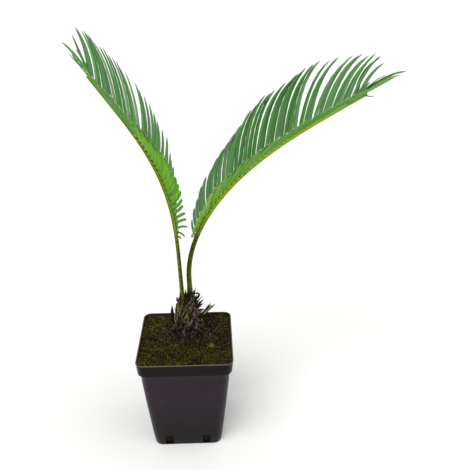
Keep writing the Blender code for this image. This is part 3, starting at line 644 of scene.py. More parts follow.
def blade_tree(name, finishes, foot=None, margin=None, tip=None):
    """Sweep a folded, lens-shaped section along every loose line of a mesh.

    Each line's points carry the section's half width, which way its upper face
    looks, how far along they are, and the numbers of the finishes of its two halves.
    """
    tree, add, entry = start_tree(name, {
        "Sides": 10, "Thickness": 0.12, "Fold": 0.3, "Under Step": 0, "Margin Start": 0.88,
        "Tip Start": 0.90,
    })
    width, shade, fellow, along, feet, across = (
        add("GeometryNodeInputNamedAttribute", {"Name": fact}, data_type="FLOAT")
        for fact in (*LINE_FACTS, "across")
    )
    upside = add("GeometryNodeInputNamedAttribute", {"Name": "upside"}, data_type="FLOAT_VECTOR")
    ring = add("GeometryNodeCurvePrimitiveCircle", {"Resolution": entry["Sides"], "Radius": 1.0})
    at = add("ShaderNodeSeparateXYZ", {0: add("GeometryNodeInputPosition")}).outputs
    flat = add("ShaderNodeMath", {0: at[0], 1: entry["Thickness"]}, operation="MULTIPLY")
    square = add("ShaderNodeMath", {0: at[1], 1: at[1]}, operation="MULTIPLY")
    bend = add("ShaderNodeMath", {0: square, 1: entry["Fold"]}, operation="MULTIPLY")
    lift = add("ShaderNodeMath", {0: flat, 1: bend}, operation="SUBTRACT")
    named = add("GeometryNodeStoreNamedAttribute", {0: ring, "Name": "across", "Value": at[1]},
                data_type="FLOAT", domain="POINT")
    spot = add("ShaderNodeCombineXYZ", {0: lift, 1: at[1]})
    section = add("GeometryNodeSetPosition", {0: named, "Position": spot})
    lines = add("GeometryNodeMeshToCurve", {0: entry[0]})
    turned = add("GeometryNodeSetCurveNormal", {0: lines, "Normal": upside}, mode="FREE")
    swept = add("GeometryNodeCurveToMesh", {0: turned, 1: section, "Scale": width, "Fill Caps": True})
    smooth = add("GeometryNodeSetShadeSmooth", {0: swept})
    normal = add("GeometryNodeInputNormal")
    looks = add("ShaderNodeVectorMath", {0: normal, 1: upside}, operation="DOT_PRODUCT").outputs["Value"]
    kept = add("GeometryNodeStoreNamedAttribute", {0: smooth, "Name": "facing", "Value": looks},
               data_type="FLOAT", domain="POINT")
    last = add("GeometryNodeRealizeInstances", {0: kept})

    # A half's finish is its number, and a step further on its under face. The two halves of a
    # leaflet can take two tones: painted light on one half of the fold and painted shade on the other
    under = add("ShaderNodeMath", {0: looks, 1: 0.0}, operation="LESS_THAN")
    step = add("ShaderNodeMath", {0: under, 1: entry["Under Step"]}, operation="MULTIPLY")
    half = add("ShaderNodeMath", {0: across, 1: 0.0}, operation="GREATER_THAN")
    apart = add("ShaderNodeMath", {0: shade, 1: fellow}, operation="SUBTRACT")
    picked = add("ShaderNodeMath", {0: half, 1: apart, 2: fellow}, operation="MULTIPLY_ADD")
    number = add("ShaderNodeMath", {0: picked, 1: step}, operation="ADD")
    for index, finish in enumerate(finishes):
        chosen = add("ShaderNodeMath", {0: number, 1: float(index), 2: 0.5}, operation="COMPARE")
        last = add("GeometryNodeSetMaterial", {0: last, "Selection": chosen, "Material": materials[finish]})

    # The yellow of a foot reaches further on the under face
    furthest = add("ShaderNodeMath", {0: under, 1: 0.1}, operation="ADD")
    yellow = add("ShaderNodeMath", {0: feet, 1: furthest}, operation="MINIMUM")
    reach = add("ShaderNodeMath", {0: across}, operation="ABSOLUTE")
    for finish, place, border, side in (
        (margin, reach, entry["Margin Start"], "GREATER_THAN"),
        (foot, along, yellow, "LESS_THAN"),
        (tip, along, entry["Tip Start"], "GREATER_THAN"),
    ):
        if finish:
            zone = add("ShaderNodeMath", {0: place, 1: border}, operation=side)
            last = add("GeometryNodeSetMaterial",
                       {0: last, "Selection": zone, "Material": materials[finish]})
    add("NodeGroupOutput", {0: last})
    return tree


def crumb_tree(name, finish):
    """Scatter small irregular lumps over a surface, as thick as its weight says."""
    tree, add, entry = start_tree(name, {
        "Density": 100000.0, "Smallest": 0.3 * MM, "Largest": 0.9 * MM, "Flatness": 0.7,
        "Roughness": 0.3 * MM, "Seed": 1,
    })
    weight = add("GeometryNodeInputNamedAttribute", {"Name": "weight"}, data_type="FLOAT")
    thick = add("ShaderNodeMath", {0: weight, 1: entry["Density"]}, operation="MULTIPLY")
    points = add("GeometryNodeDistributePointsOnFaces",
                 {0: entry[0], "Density": thick, "Seed": entry["Seed"]})
    lump = add("GeometryNodeMeshIcoSphere", {"Radius": 1.0, "Subdivisions": 1})
    size = add("FunctionNodeRandomValue", {2: entry["Smallest"], 3: entry["Largest"], "Seed": entry["Seed"]},
               data_type="FLOAT").outputs[1]
    squash = add("ShaderNodeCombineXYZ", {0: 1.0, 1: 0.8, 2: entry["Flatness"]})
    scale = add("ShaderNodeVectorMath", {0: squash, "Scale": size}, operation="SCALE")
    spin = add("FunctionNodeRandomValue", {0: (0.0, 0.0, 0.0), 1: (0.9, 0.9, 6.28)},
               data_type="FLOAT_VECTOR")
    turn = add("FunctionNodeEulerToRotation", {0: spin})
    placed = add("GeometryNodeInstanceOnPoints",
                 {0: points, "Instance": lump, "Rotation": turn, "Scale": scale})
    real = add("GeometryNodeRealizeInstances", {0: placed})
    rough = add("ShaderNodeTexNoise", {"Scale": 1.0 / (0.9 * MM), "Detail": 1.0}).outputs[1]
    centred = add("ShaderNodeVectorMath", {0: rough, 1: (0.5, 0.5, 0.5)}, operation="SUBTRACT")
    push = add("ShaderNodeVectorMath", {0: centred, "Scale": entry["Roughness"]}, operation="SCALE")
    moved = add("GeometryNodeSetPosition", {0: real, "Offset": push})
    last = add("GeometryNodeSetMaterial", {0: moved, "Material": materials[finish]})
    add("NodeGroupOutput", {0: last})
    return tree


def line_mesh(name, lines):
    """Loose lines as a mesh, each a dict of points (mm), widths (mm), upsides and a shade number."""
    points, edges, upsides = [], [], []
    facts = {fact: [] for fact in LINE_FACTS}
    for line in lines:
        first = len(points)
        count = len(line["points"])
        shade = float(line["shade"])
        points.extend(Vector(point) * MM for point in line["points"])
        edges.extend((first + index, first + index + 1) for index in range(count - 1))
        upsides.extend(axis for upside in line["upsides"] for axis in upside)
        facts["width"].extend(width * MM for width in line["widths"])
        facts["shade"].extend([shade] * count)
        facts["fellow"].extend([float(line.get("fellow", shade))] * count)
        facts["along"].extend(index / (count - 1) for index in range(count))
        facts["foot"].extend([line.get("foot", 0.0)] * count)
    mesh = bpy.data.meshes.new(name + "_lines")
    mesh.from_pydata(points, edges, [])
    for fact, values in facts.items():
        mesh.attributes.new(fact, "FLOAT", "POINT").data.foreach_set("value", values)
    mesh.attributes.new("upside", "FLOAT_VECTOR", "POINT").data.foreach_set("vector", upsides)
    return mesh


def finish_piece(piece, slot, *nodes):
    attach(piece, "root")
    if nodes:
        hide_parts(*nodes)


def sweep(name, lines, finishes, section, slot, *nodes):
    """A finished piece of blades swept along lines."""
    values = dict(zip(("Sides", "Thickness", "Fold"), section))
    piece = grow(name, line_mesh(name, lines), blade_tree(name, finishes), values)
    finish_piece(piece, slot, *nodes)


def scatter(name, ground, finish, density, smallest, largest, flatness, seed, slot):
    """A finished piece of crumbs on a ground: how many to a square metre, and their sizes."""
    values = {"Density": density, "Smallest": smallest * MM, "Largest": largest * MM, "Flatness": flatness,
              "Seed": seed}
    finish_piece(grow(name, ground, crumb_tree(name, finish), values), slot)


def clamped(value):
    return min(max(value, 0.0), 1.0)


def between(place, places, values):
    """The value at a place, read between the values at known places."""
    return float(np.interp(place, places, values))


def level(angle):
    """The level direction at an angle in radians."""
    return Vector((math.cos(angle), math.sin(angle), 0.0))


def leaning(out, lean):
    """Upright, leaning outwards by an angle in radians."""
    return out * math.sin(lean) + UP * math.cos(lean)


def square_to(direction, axis):
    """The direction nearest to axis that is square to another."""
    return (axis - direction * axis.dot(direction)).normalized()


def join_loops(bm, loops):
    """Faces between each loop of points and the next."""
    for lower, upper in zip(loops, loops[1:]):
        for index in range(len(lower)):
            after = (index + 1) % len(lower)
            bm.faces.new((lower[index], lower[after], upper[after], upper[index]))


def rounded_square(half, corner, steps):
    """Points round a square with rounded corners, counter-clockwise."""
    ring = []
    for quarter in range(4):
        middle = Matrix.Rotation(math.radians(90.0 * quarter), 2) @ Vector((half - corner, half - corner))
        for step in range(steps + 1):
            angle = math.radians(90.0 * (quarter + step / steps))
            ring.append(middle + corner * Vector((math.cos(angle), math.sin(angle))))
    return ring


def make_pot():
    """A closed shell lofted up the outside, over the rim and down the inside, with a duller collar."""
    bm = bmesh.new()
    loops = []
    for levels, inset in ((POT_OUTSIDE, 0.0), (POT_INSIDE, POT_WALL)):
        for height, half in levels:
            ring = rounded_square(half, POT_CORNER - inset, POT_CORNER_STEPS)
            loops.append([bm.verts.new((spot.x * MM, spot.y * MM, height * MM)) for spot in ring])
    join_loops(bm, loops)
    bm.faces.new(loops[0])
    bm.faces.new(loops[-1])
    pot = plain_mesh("pot_shell", bm, "black_polypropylene_moulded")
    pot.data.materials.append(materials["black_polypropylene_collar_dull"])
    for face in pot.data.polygons:
        face.material_index = int(face.center.z > COLLAR_FOOT * MM)
    cutters = bmesh.new()
    size = Matrix.Diagonal((NOTCH_WIDTH * MM, NOTCH_DEPTH * MM, NOTCH_HEIGHT * MM, 1.0))
    for quarter in range(4):
        turn = Matrix.Rotation(math.radians(90.0 * quarter), 4, "Z")
        for side in (-1, 1):
            centre = Vector((side * NOTCH_SPREAD, -POT_OUTSIDE[3][1], NOTCH_SILL + NOTCH_HEIGHT / 2)) * MM
            bmesh.ops.create_cube(cutters, size=1.0, matrix=turn @ Matrix.Translation(centre) @ size)
    notches = plain_mesh("notches", cutters, "black_polypropylene_moulded")
    cut = pot.modifiers.new("drainage", "BOOLEAN")
    cut.operation = "DIFFERENCE"
    cut.solver = "EXACT"
    cut.object = notches
    pot.data = evaluated_mesh(pot)
    bpy.data.objects.remove(notches, do_unlink=True)
    pot.data.set_sharp_from_angle(angle=math.radians(40.0))
    finish_piece(pot, "pot_plastic", "pot")


def caudex_share(height):
    return (height - CAUDEX_BOTTOM_Z) / (CAUDEX_CROWN_Z - CAUDEX_BOTTOM_Z)


def caudex_axis(height):
    lean = caudex_share(height) * (CAUDEX_TOP[0] - CAUDEX_FOOT[0])
    return Vector((CAUDEX_FOOT[0] + lean, CAUDEX_FOOT[1], height))


def caudex_radius(height):
    return between(caudex_share(height), CAUDEX_STATIONS, CAUDEX_RADII)


def from_caudex(x, y):
    return math.hypot(x - CAUDEX_FOOT[0], y - CAUDEX_FOOT[1])


def soil_height(x, y):
    """Height of the soil's surface, in mm: a mound, a bank along the walls, and clods of three sizes."""
    swell = SOIL_MOUND * math.exp(-((from_caudex(x, y) / SOIL_MOUND_REACH) ** 2))
    swell += SOIL_BANK * clamped((max(abs(x), abs(y)) - SOIL_BANK_START) / SOIL_BANK_WIDTH) ** 2
    spot = Vector((x, y, 3.0))
    return SOIL_TOP + swell + sum(height * noise.noise(spot / reach) for height, reach in SOIL_CLODS)


def even_share(x, y):
    return 1.0


def moss_share(x, y):
    """How mossy the soil is: most at the left and in front, least round the caudex."""
    patch = 0.42 + 1.5 * noise.noise(Vector((x, y, 40.0)) / 12.0)
    edge = clamped((from_caudex(x, y) - 16.0) / 22.0)
    side = 0.55 + 0.45 * min(max((-x - y * 0.5) / 30.0, -1.0), 1.0)
    return clamped(patch * edge * (0.5 + side))


def chip_share(x, y):
    """Bark chips lie thickest in a ring round the caudex."""
    return 0.18 + 0.82 * math.exp(-(((from_caudex(x, y) - 15.0) / 11.0) ** 2))


def tuft_share(x, y):
    """One small moss cushion in front, to the right."""
    return clamped(1.0 - math.hypot(x - MOSS_TUFT[0], y - MOSS_TUFT[1]) / MOSS_TUFT[2])


def grit_share(x, y):
    """Grit lies thinly all over, with a few larger grains of perlite."""
    nearest = min(math.hypot(x - across, y - away) for across, away in PALE_SPECKS)
    return 1.0 if nearest < SPECK_REACH else 0.009


def soil_top_grid():
    """The soil's upper surface as a fine rounded square."""
    bm = bmesh.new()
    bmesh.ops.create_grid(bm, x_segments=SOIL_CELLS, y_segments=SOIL_CELLS, size=1.0)
    inner = SOIL_HALF - SOIL_CORNER
    for vert in bm.verts:
        spot = Vector((vert.co.x, vert.co.y)) * SOIL_HALF
        over = Vector((max(abs(spot.x) - inner, 0.0), max(abs(spot.y) - inner, 0.0)))
        if over.x > 0.0 and over.y > 0.0:
            over *= max(over.x, over.y) / over.length
            spot = Vector((math.copysign(inner + over.x, spot.x), math.copysign(inner + over.y, spot.y)))
        vert.co = Vector((spot.x, spot.y, soil_height(spot.x, spot.y))) * MM
    return bm


def make_soil():
    """A closed plug: the cloddy top, walls that follow the pot, and a flat foot."""
    bm = soil_top_grid()
    rim = [edge for edge in bm.edges if edge.is_boundary]
    for height, half in SOIL_WALLS:
        grown = bmesh.ops.extrude_edge_only(bm, edges=rim)["geom"]
        for item in grown:
            if isinstance(item, bmesh.types.BMVert):
                x, y = item.co.x, item.co.y
                wall = Vector((x, y)) / max(abs(x), abs(y)) * half * MM
                keep = min(abs(x), abs(y)) * (half / SOIL_HALF)
                if abs(x) > abs(y):
                    item.co = (wall.x, math.copysign(keep, y), height * MM)
                else:
                    item.co = (math.copysign(keep, x), wall.y, height * MM)
        rim = [item for item in grown if isinstance(item, bmesh.types.BMEdge) and item.is_boundary]
    bmesh.ops.contextual_create(bm, geom=rim)
    soil = plain_mesh("soil_plug", bm, "peat_compost_moist", 80.0)
    moss = [moss_share(vert.co.x / MM, vert.co.y / MM) if vert.co.z > SOIL_TOP_LOWEST * MM else 0.0
            for vert in soil.data.vertices]
    soil.data.attributes.new("moss", "FLOAT", "POINT").data.foreach_set("value", moss)
    finish_piece(soil, "potting_soil", "soil")


def weighted_ground(name, bm, weight):
    """A bmesh as a mesh whose points say how thickly crumbs lie there."""
    mesh = bpy.data.meshes.new(name + "_ground")
    bm.to_mesh(mesh)
    bm.free()
    values = [weight(vert.co) for vert in mesh.vertices]
    mesh.attributes.new("weight", "FLOAT", "POINT").data.foreach_set("value", values)
    return mesh


def make_soil_crumbs():
    """Five kinds of crumbs on the soil, then its threads."""
    for name, share, *look in (
        ("soil_crumbs", even_share, "peat_crumb_dark", 620000.0, 0.25, 0.95, 0.7, 3),
        ("soil_moss", moss_share, "moss_tip_yellow_green", 900000.0, 0.2, 0.6, 0.9, 4),
        ("soil_bark_chips", chip_share, "composted_bark_chip", 150000.0, 0.7, 1.9, 0.55, 5),
        ("soil_moss_tuft", tuft_share, "moss_tuft_fresh", 5000000.0, 0.3, 0.8, 1.6, 7),
        ("soil_grit", grit_share, "perlite_dull_cream", 1500000.0, 0.25, 0.6, 0.7, 6),
    ):
        ground = weighted_ground(name, soil_top_grid(), lambda spot: share(spot.x / MM, spot.y / MM))
        scatter(name, ground, *look, "potting_soil")
    sweep("soil_threads", soil_thread_lines(), FIBRE_FINISHES, THREAD_SECTION, "potting_soil")


def caudex_sleeve(foot, rise, rows, around, reach):
    """Loops of points round the caudex's axis, as far out as reach(out, height) says."""
    bm = bmesh.new()
    loops = []
    for row in range(rows + 1):
        height = foot + rise * row / rows
        ring = [level(math.tau * step / around) for step in range(around)]
        loops.append([bm.verts.new((caudex_axis(height) + out * reach(out, height)) * MM) for out in ring])
    join_loops(bm, loops)
    return bm, loops


def bark_reach(out, height):
    """The core's radius, with the relief of old bark."""
    rough = noise.noise(Vector((out.x * 4.0, out.y * 4.0, height / 4.0)))
    rough += 0.5 * noise.noise(Vector((out.x * 11.0, out.y * 11.0, height / 1.8)))
    return caudex_radius(height) - 0.6 + 1.1 * rough


def caudex_moss_share(place):
    """Moss grows along the caudex's left side, in streaks and in small cushions in front."""
    spot = place / MM
    out = (spot - caudex_axis(spot.z)).normalized()
    streak = noise.noise(Vector((out.x * 5.0 - spot.z / 9.0, out.y * 5.0, spot.z / 7.0)))
    high = clamped((spot.z - CAUDEX_BOTTOM_Z - 8.0) / 20.0)
    weight = (streak + 0.26 * high - 0.38 * out.x - 0.46) * 3.0
    if out.y < 0.2:
        weight += max(1.4 - 1.4 * math.hypot(spot.x - x, spot.z - z) / reach for x, z, reach in CAUDEX_TUFTS)
    return clamped(weight)


def make_caudex():
    """The core with its old bark, then leaf bases, moss, the crown's sheaths and dry fibres."""
    tall = CAUDEX_CROWN_Z - CAUDEX_BOTTOM_Z
    bm, loops = caudex_sleeve(CAUDEX_BOTTOM_Z, tall, rows=30, around=56, reach=bark_reach)
    bm.faces.new(loops[0])
    bm.faces.new(loops[-1])
    finish_piece(plain_mesh("caudex_core", bm, "caudex_bark_shaggy", 70.0), "caudex_bark", "caudex")
    sweep("caudex_leaf_bases", leaf_base_lines(), LEAF_BASE_FINISHES, STRAP_SECTION, "caudex_bark")
    bm, _ = caudex_sleeve(CAUDEX_BOTTOM_Z + MOSS_START, tall - MOSS_START - MOSS_END, rows=26, around=48,
                          reach=lambda out, height: caudex_radius(height) + MOSS_PROUD)
    ground = weighted_ground("caudex_moss", bm, caudex_moss_share)
    scatter("caudex_moss", ground, "moss_cushion_bright", 520000.0, 0.25, 0.7, 0.9, 12, "caudex_bark")
    sweep("crown_cataphylls", sheath_lines(), ("dry_fibre_dark", "leaf_base_plum_brown"), SHEATH_SECTION,
          "caudex_bark")
    sweep("caudex_fibres", dry_fibre_lines(), FIBRE_FINISHES, THREAD_SECTION, "caudex_bark")


def even_line(points, widths, upside, shade=0):
    """A line whose upper face looks one way all along."""
    return {"points": points, "widths": widths, "upsides": [upside] * len(points), "shade": shade}


def curved_line(root, direction, bend, length, widths, upside, shade=0):
    """A line that leaves root along direction and bends towards bend, a vector, as it goes."""
    shares = [index / (len(widths) - 1) for index in range(len(widths))]
    points = [root + direction * length * along + bend * length * along * along for along in shares]
    return even_line(points, widths, upside, shade)


def hug_caudex(points, proud):
    """Keep a strap's points within a distance of the caudex's side."""
    for point in points:
        axis = caudex_axis(point.z)
        away = Vector((point.x - axis.x, point.y - axis.y, 0.0))
        reach = caudex_radius(point.z) + proud
        if away.length > reach:
            point -= away * (1.0 - reach / away.length)


def leaf_base_shades(out, share):
    """Finishes to draw from: mossy at the left, a dry patch at the right, darkest low down."""
    if out.x < -0.25 and share > 0.35:
        return (0, 0, 1, 2, 2)
    if 0.35 < out.x < 0.8 and out.y < 0.0 and 0.26 < share < 0.42:
        return (1, 1, 1)
    if share < 0.3:
        return (3, 3, 3, 3, 3, 0, 0, 1)
    return (0, 0, 0, 0, 1, 1, 2, 2)


def leaf_base_lines():
    """Old leaf bases spiral up the caudex: long overlapping straps, frayed at their ends."""
    rng = random.Random(21)
    lines = []
    for index in range(LEAF_BASES):
        share = (index + 0.5) / LEAF_BASES
        out = level(math.radians(GOLDEN_ANGLE * index))
        height = CAUDEX_BOTTOM_Z + 1.0 + LEAF_BASE_RISE * share
        lean = math.radians(22.0 - 12.0 * share + rng.uniform(-9.0, 11.0) - 12.0 * max(-out.x, 0.0))
        side = out.cross(UP) * rng.uniform(-1.15, -0.1) * (1.0 if -0.6 < out.x < 0.5 else 0.3)
        direction = (leaning(out, lean) + side).normalized()
        root = caudex_axis(height) + out * (caudex_radius(height) - 0.9)
        size = (1.0 - 0.2 * share) * rng.uniform(0.7, 1.2)
        widths = [width * size for width in LEAF_BASE_TAPER]
        bend = -out * rng.uniform(0.05, 0.3) + out.cross(UP) * rng.uniform(-0.25, 0.15)
        shade = rng.choice(leaf_base_shades(out, share))
        upside = square_to(direction, out)
        line = curved_line(root, direction, bend, LEAF_BASE_LENGTH * size, widths, upside, shade)
        hug_caudex(line["points"], rng.uniform(1.2, 2.8))
        lines.append(line)
    # The oldest bases lie flat round the foot and run out into the soil
    for _ in range(FOOT_STRAPS):
        out = level(math.radians(rng.gauss(-70.0, 75.0)))
        lean = math.radians(rng.uniform(50.0, 80.0))
        side = out.cross(UP) * rng.uniform(-1.0, 0.3)
        direction = (leaning(out, lean) + side).normalized()
        height = CAUDEX_BOTTOM_Z + rng.uniform(6.0, 13.0)
        root = caudex_axis(height) + out * (caudex_radius(height) - 2.0)
        size = rng.uniform(0.6, 1.1)
        widths = [width * size for width in FOOT_STRAP_TAPER]
        bend = -UP * rng.uniform(0.3, 0.7)
        shade = rng.choice((3, 3, 3, 0))
        upside = square_to(direction, UP)
        lines.append(curved_line(root, direction, bend, FOOT_STRAP_LENGTH * size, widths, upside, shade))
    return lines


def sheath_lines():
    """Pointed brown sheaths that stand round the foot of the two stalks, longest at the right."""
    rng = random.Random(5)
    lines = []
    for index in range(SHEATHS):
        out = level(math.radians(GOLDEN_ANGLE * index + 40.0))
        right = max(out.x, 0.0) ** 2
        direction = leaning(out, math.radians(rng.uniform(0.0, 5.0))).normalized()
        away = rng.uniform(3.6, 7.6) if index < OUTER_SHEATHS else rng.uniform(0.5, 3.6)
        root = caudex_axis(CAUDEX_CROWN_Z - rng.uniform(5.0, 9.0)) + out * away
        length = rng.uniform(7.0, 10.0) + 10.0 * right
        size = rng.uniform(0.7, 1.3) + 0.4 * right
        widths = [width * size for width in SHEATH_TAPER]
        bend = out * rng.uniform(-0.15, 0.15) + out.cross(UP) * rng.uniform(-0.12, 0.12)
        shade = rng.choice((0, 0, 1))
        lines.append(curved_line(root, direction, bend, length, widths, square_to(direction, out), shade))
    return lines


def dry_fibre_lines():
    """Dark curled fibres that stick out of the caudex, most of them high on its right side."""
    rng = random.Random(17)
    lines = []
    for index in range(DRY_FIBRES):
        favoured = index % 4 != 0
        out = level(math.radians(rng.gauss(-10.0, 40.0) if favoured else rng.uniform(0.0, 360.0)))
        height = CAUDEX_BOTTOM_Z + (rng.uniform(14.0, 42.0) if favoured else rng.uniform(6.0, 40.0))
        root = caudex_axis(height) + out * (caudex_radius(height) - 0.8)
        direction = leaning(out, math.radians(rng.uniform(15.0, 75.0))).normalized()
        bend = Vector([rng.uniform(-0.6, 0.6) for _ in range(3)])
        length = rng.uniform(2.5, 8.0) if favoured else rng.uniform(1.5, 3.5)
        thick = rng.uniform(0.18, 0.5) if height < CAUDEX_BOTTOM_Z + 32.0 else rng.uniform(0.3, 0.7)
        widths = [width * thick for width in DRY_FIBRE_TAPER]
        lines.append(curved_line(root, direction, bend, length, widths, out, rng.choice((0, 0, 0, 1))))
    # Forked fibres between the hook and the stub, two of them pale, then dark curls below the hook
    for fibres, forward, bend, widths, pale in (
        (FORKED_FIBRES, 3.0, Vector((0.12, 0.0, 0.1)), (1.0, 0.95, 0.9, 0.8, 0.6, 0.25), (3, 7)),
        (DARK_CURLS, 3.5, Vector((0.55, 0.0, -0.65)), (0.95, 0.9, 0.8, 0.7, 0.5, 0.2), ()),
    ):
        for index, (x, z, across, up, length) in enumerate(fibres):
            root = Vector((x, CAUDEX_FOOT[1] - forward, z))
            direction = Vector((across, -0.1, up)).normalized()
            shade = int(index in pale)
            lines.append(curved_line(root, direction, bend, length, widths, TOWARDS_CAMERA, shade))
    return lines


def soil_thread_lines():
    """Fine root threads and straws that lie on the soil."""
    rng = random.Random(9)
    lines = []
    for _ in range(THREADS):
        x = rng.uniform(-THREAD_FIELD, THREAD_FIELD)
        y = rng.uniform(-THREAD_FIELD, THREAD_FIELD)
        bearing = rng.uniform(0.0, math.tau)
        turn = rng.uniform(-0.07, 0.07)
        step = rng.uniform(0.7, 2.6)
        points = []
        for _ in range(THREAD_KNOTS):
            if max(abs(x), abs(y)) > THREAD_FIELD + THREAD_MARGIN:
                break
            points.append(Vector((x, y, soil_height(x, y) + THREAD_RISE)))
            x += math.cos(bearing) * step
            y += math.sin(bearing) * step
            bearing += turn
        if len(points) > 3:
            thick = rng.uniform(0.07, 0.16)
            lines.append(even_line(points, [thick] * len(points), UP, rng.choice((0, 0, 1))))
    for x, y, across, away in LONG_THREADS:
        steps = LONG_THREAD_STEPS
        points = []
        for index in range(steps + 1):
            point = Vector((x + across * index / steps, y + away * index / steps, 0.0))
            point.z = soil_height(point.x, point.y) + LONG_THREAD_RISE
            points.append(point)
        lines.append(even_line(points, [0.14] * steps + [0.06], UP, 1))
    return lines


def stub_lines():
    """The old stalk's split stub: a pale channel, two dark rims, and two finer edges between them."""
    foot = Vector(STUB_FOOT)
    run = Vector(STUB_TIP) - foot
    upside = square_to(run.normalized(), TOWARDS_CAMERA)
    side = run.normalized().cross(upside)
    steps = 6
    shares = [index / steps for index in range(steps + 1)]
    trough = [foot.lerp(foot + run, share) for share in shares]
    lines = [even_line(trough, [1.1] * (steps - 1) + [0.9, 0.4], upside, 1)]
    rim = [0.6] * (steps - 1) + [0.75, 0.35]
    edge = [0.42] * steps + [0.2]
    for sign, reach, start, spread, rise, widths, shade in (
        (-1.0, 1.02, 1.15, 0.75, 0.2, rim, 0), (1.0, 1.12, 1.15, 0.75, 0.2, rim, 0),
        (-1.0, 0.96, 0.5, 0.5, 0.75, edge, 0), (1.0, 1.06, 0.5, 0.5, 0.75, edge, 1),
    ):
        points = []
        for index in range(steps + 1):
            outwards = side * sign * (start + spread * index / steps)
            points.append(foot.lerp(foot + run * reach, index / steps) + outwards + upside * rise)
        lines.append(even_line(points, widths, upside, shade))
    return lines


def make_remains():
    """Dry remains of older fronds: the split stub, the curled hook and the dead spike."""
    sweep("dried_stub_stalk", stub_lines(), ("dry_fibre_dark", "dry_strap_edge_pale"), STUB_SECTION,
          "dry_stalk", "dried_stub")
    hook = even_line([Vector(point) for point in HOOK_POINTS], HOOK_WIDTHS, TOWARDS_CAMERA)
    sweep("dried_hook_fibre", [hook], ("dry_fibre_dark",), HOOK_SECTION, "dry_stalk", "dried_hook")
    spike = curved_line(Vector(SPIKE_FOOT), UP, Vector((0.02, 0.0, 0.0)), SPIKE_LENGTH, SPIKE_WIDTHS,
                        TOWARDS_CAMERA)
    sweep("dead_spike_point", [spike], ("dry_fibre_dark",), SPIKE_SECTION, "dry_stalk", "dead_spike")


def stalk_elevation(frond, travelled):
    """Slope of the stalk, in degrees, at a distance from its root."""
    share = clamped((travelled - frond["straight"]) / frond["arc"])
    if "bend_power" in frond:
        ease = 1.0 - (1.0 - share) ** frond["bend_power"]
    else:
        late = clamped((share - frond["bend_start"]) / frond["bend_span"])
        ease = late * late * (3.0 - 2.0 * late)
    return frond["elevation_root"] + ease * (frond["elevation_tip"] - frond["elevation_root"])


def stalk_frame(frond, travelled):
    """Place (mm), direction, upward normal and level side of the stalk at a distance from its root."""
    out = level(math.radians(frond["azimuth"]))
    place = Vector((CAUDEX_TOP[0], CAUDEX_TOP[1], frond["root_z"])) + out * frond["root_out"]
    steps = max(1, int(math.ceil(travelled)))
    stride = travelled / steps
    for index in range(steps):
        slope = math.radians(stalk_elevation(frond, (index + 0.5) * stride))
        place = place + (out * math.cos(slope) + UP * math.sin(slope)) * stride
    slope = math.radians(stalk_elevation(frond, travelled))
    tangent = out * math.cos(slope) + UP * math.sin(slope)
    normal = UP * math.cos(slope) - out * math.sin(slope)
    return place, tangent, normal, normal.cross(tangent)


def stalk_line(frond):
    total = frond["straight"] + frond["arc"]
    points, widths, upsides = [], [], []
    for index in range(STALK_STEPS + 1):
        travelled = total * index / STALK_STEPS
        place, tangent, normal, across = stalk_frame(frond, travelled)
        points.append(place)
        upsides.append(normal)
        widths.append(between(travelled, (0.0, frond["bare"], total), frond["radii"]))
    return {"points": points, "widths": widths, "upsides": upsides, "shade": 0}


def spine_lines(frond):
    """Short spines in two rows up the bare part of the stalk."""
    rng = random.Random(frond["seed"])
    lines = []
    travelled = SPINE_START
    while travelled < frond["bare"] + 4.0:
        for side in (-1, 1):
            place, tangent, normal, across = stalk_frame(frond, travelled + rng.uniform(-0.8, 0.8))
            out = (across * side + normal * 0.75).normalized()
            direction = (across * side * 0.6 + tangent - normal * 0.8).normalized()
            root = place + out * (frond["radii"][1] + 0.05)
            length = rng.uniform(2.4, 3.2)
            lines.append(curved_line(root, direction, tangent * 0.1, length, SPINE_TAPER, tangent))
        travelled += rng.uniform(2.9, 3.7)
    # The lowest leaflets are only dark hooks
    for travelled, length in frond["hooks"]:
        place, tangent, normal, across = stalk_frame(frond, travelled)
        bend = -tangent * 0.75 - normal * 0.15
        lines.append(curved_line(place + normal * 1.3, normal, bend, length, DARK_HOOK_TAPER, across))
    return lines


def gap_push(gaps, share):
    """How far a leaflet leans away from the wider gaps in its rank, in degrees."""
    push = 0.0
    for place, strength in gaps:
        away = share - place
        push -= math.copysign(strength * math.exp(-abs(away) / GAP_REACH), away)
    return push


def leaflet_path(frond, rank, share, angle, lift, curl, hook, length, twist):
    """Points and upward directions of one leaflet, which turns from its first heading to the tip's."""
    side = frond[rank]["side"]
    total = frond["straight"] + frond["arc"]
    root, tangent, normal, across = stalk_frame(frond, frond["bare"] + share * (total - frond["bare"]))
    outward = across * side * math.cos(lift) + normal * math.sin(lift)
    upper = (tangent.cross(outward) * side).normalized()
    place = root + normal * RANKS[rank]["seat"] * between(share, (0.0, 1.0), frond["radii"][1:])
    points, upsides = [], []
    before = 0.0
    for along in LEAFLET_KNOTS:
        halfway = 0.5 * (before + along)
        course = angle + curl * (0.5 - halfway) + hook * (0.25 - halfway ** 3)
        place = place + (tangent * math.cos(course) + outward * math.sin(course)) * length * (along - before)
        before = along
        heading = angle + curl * (0.5 - along) + hook * (0.25 - along ** 3)
        leaning_back = -tangent * math.sin(heading) + outward * math.cos(heading)
        points.append(place + normal * frond[rank]["rise"] * min(along / 0.1, 1.0))
        upsides.append(upper * math.cos(twist) + leaning_back * math.sin(twist))
    return points, upsides


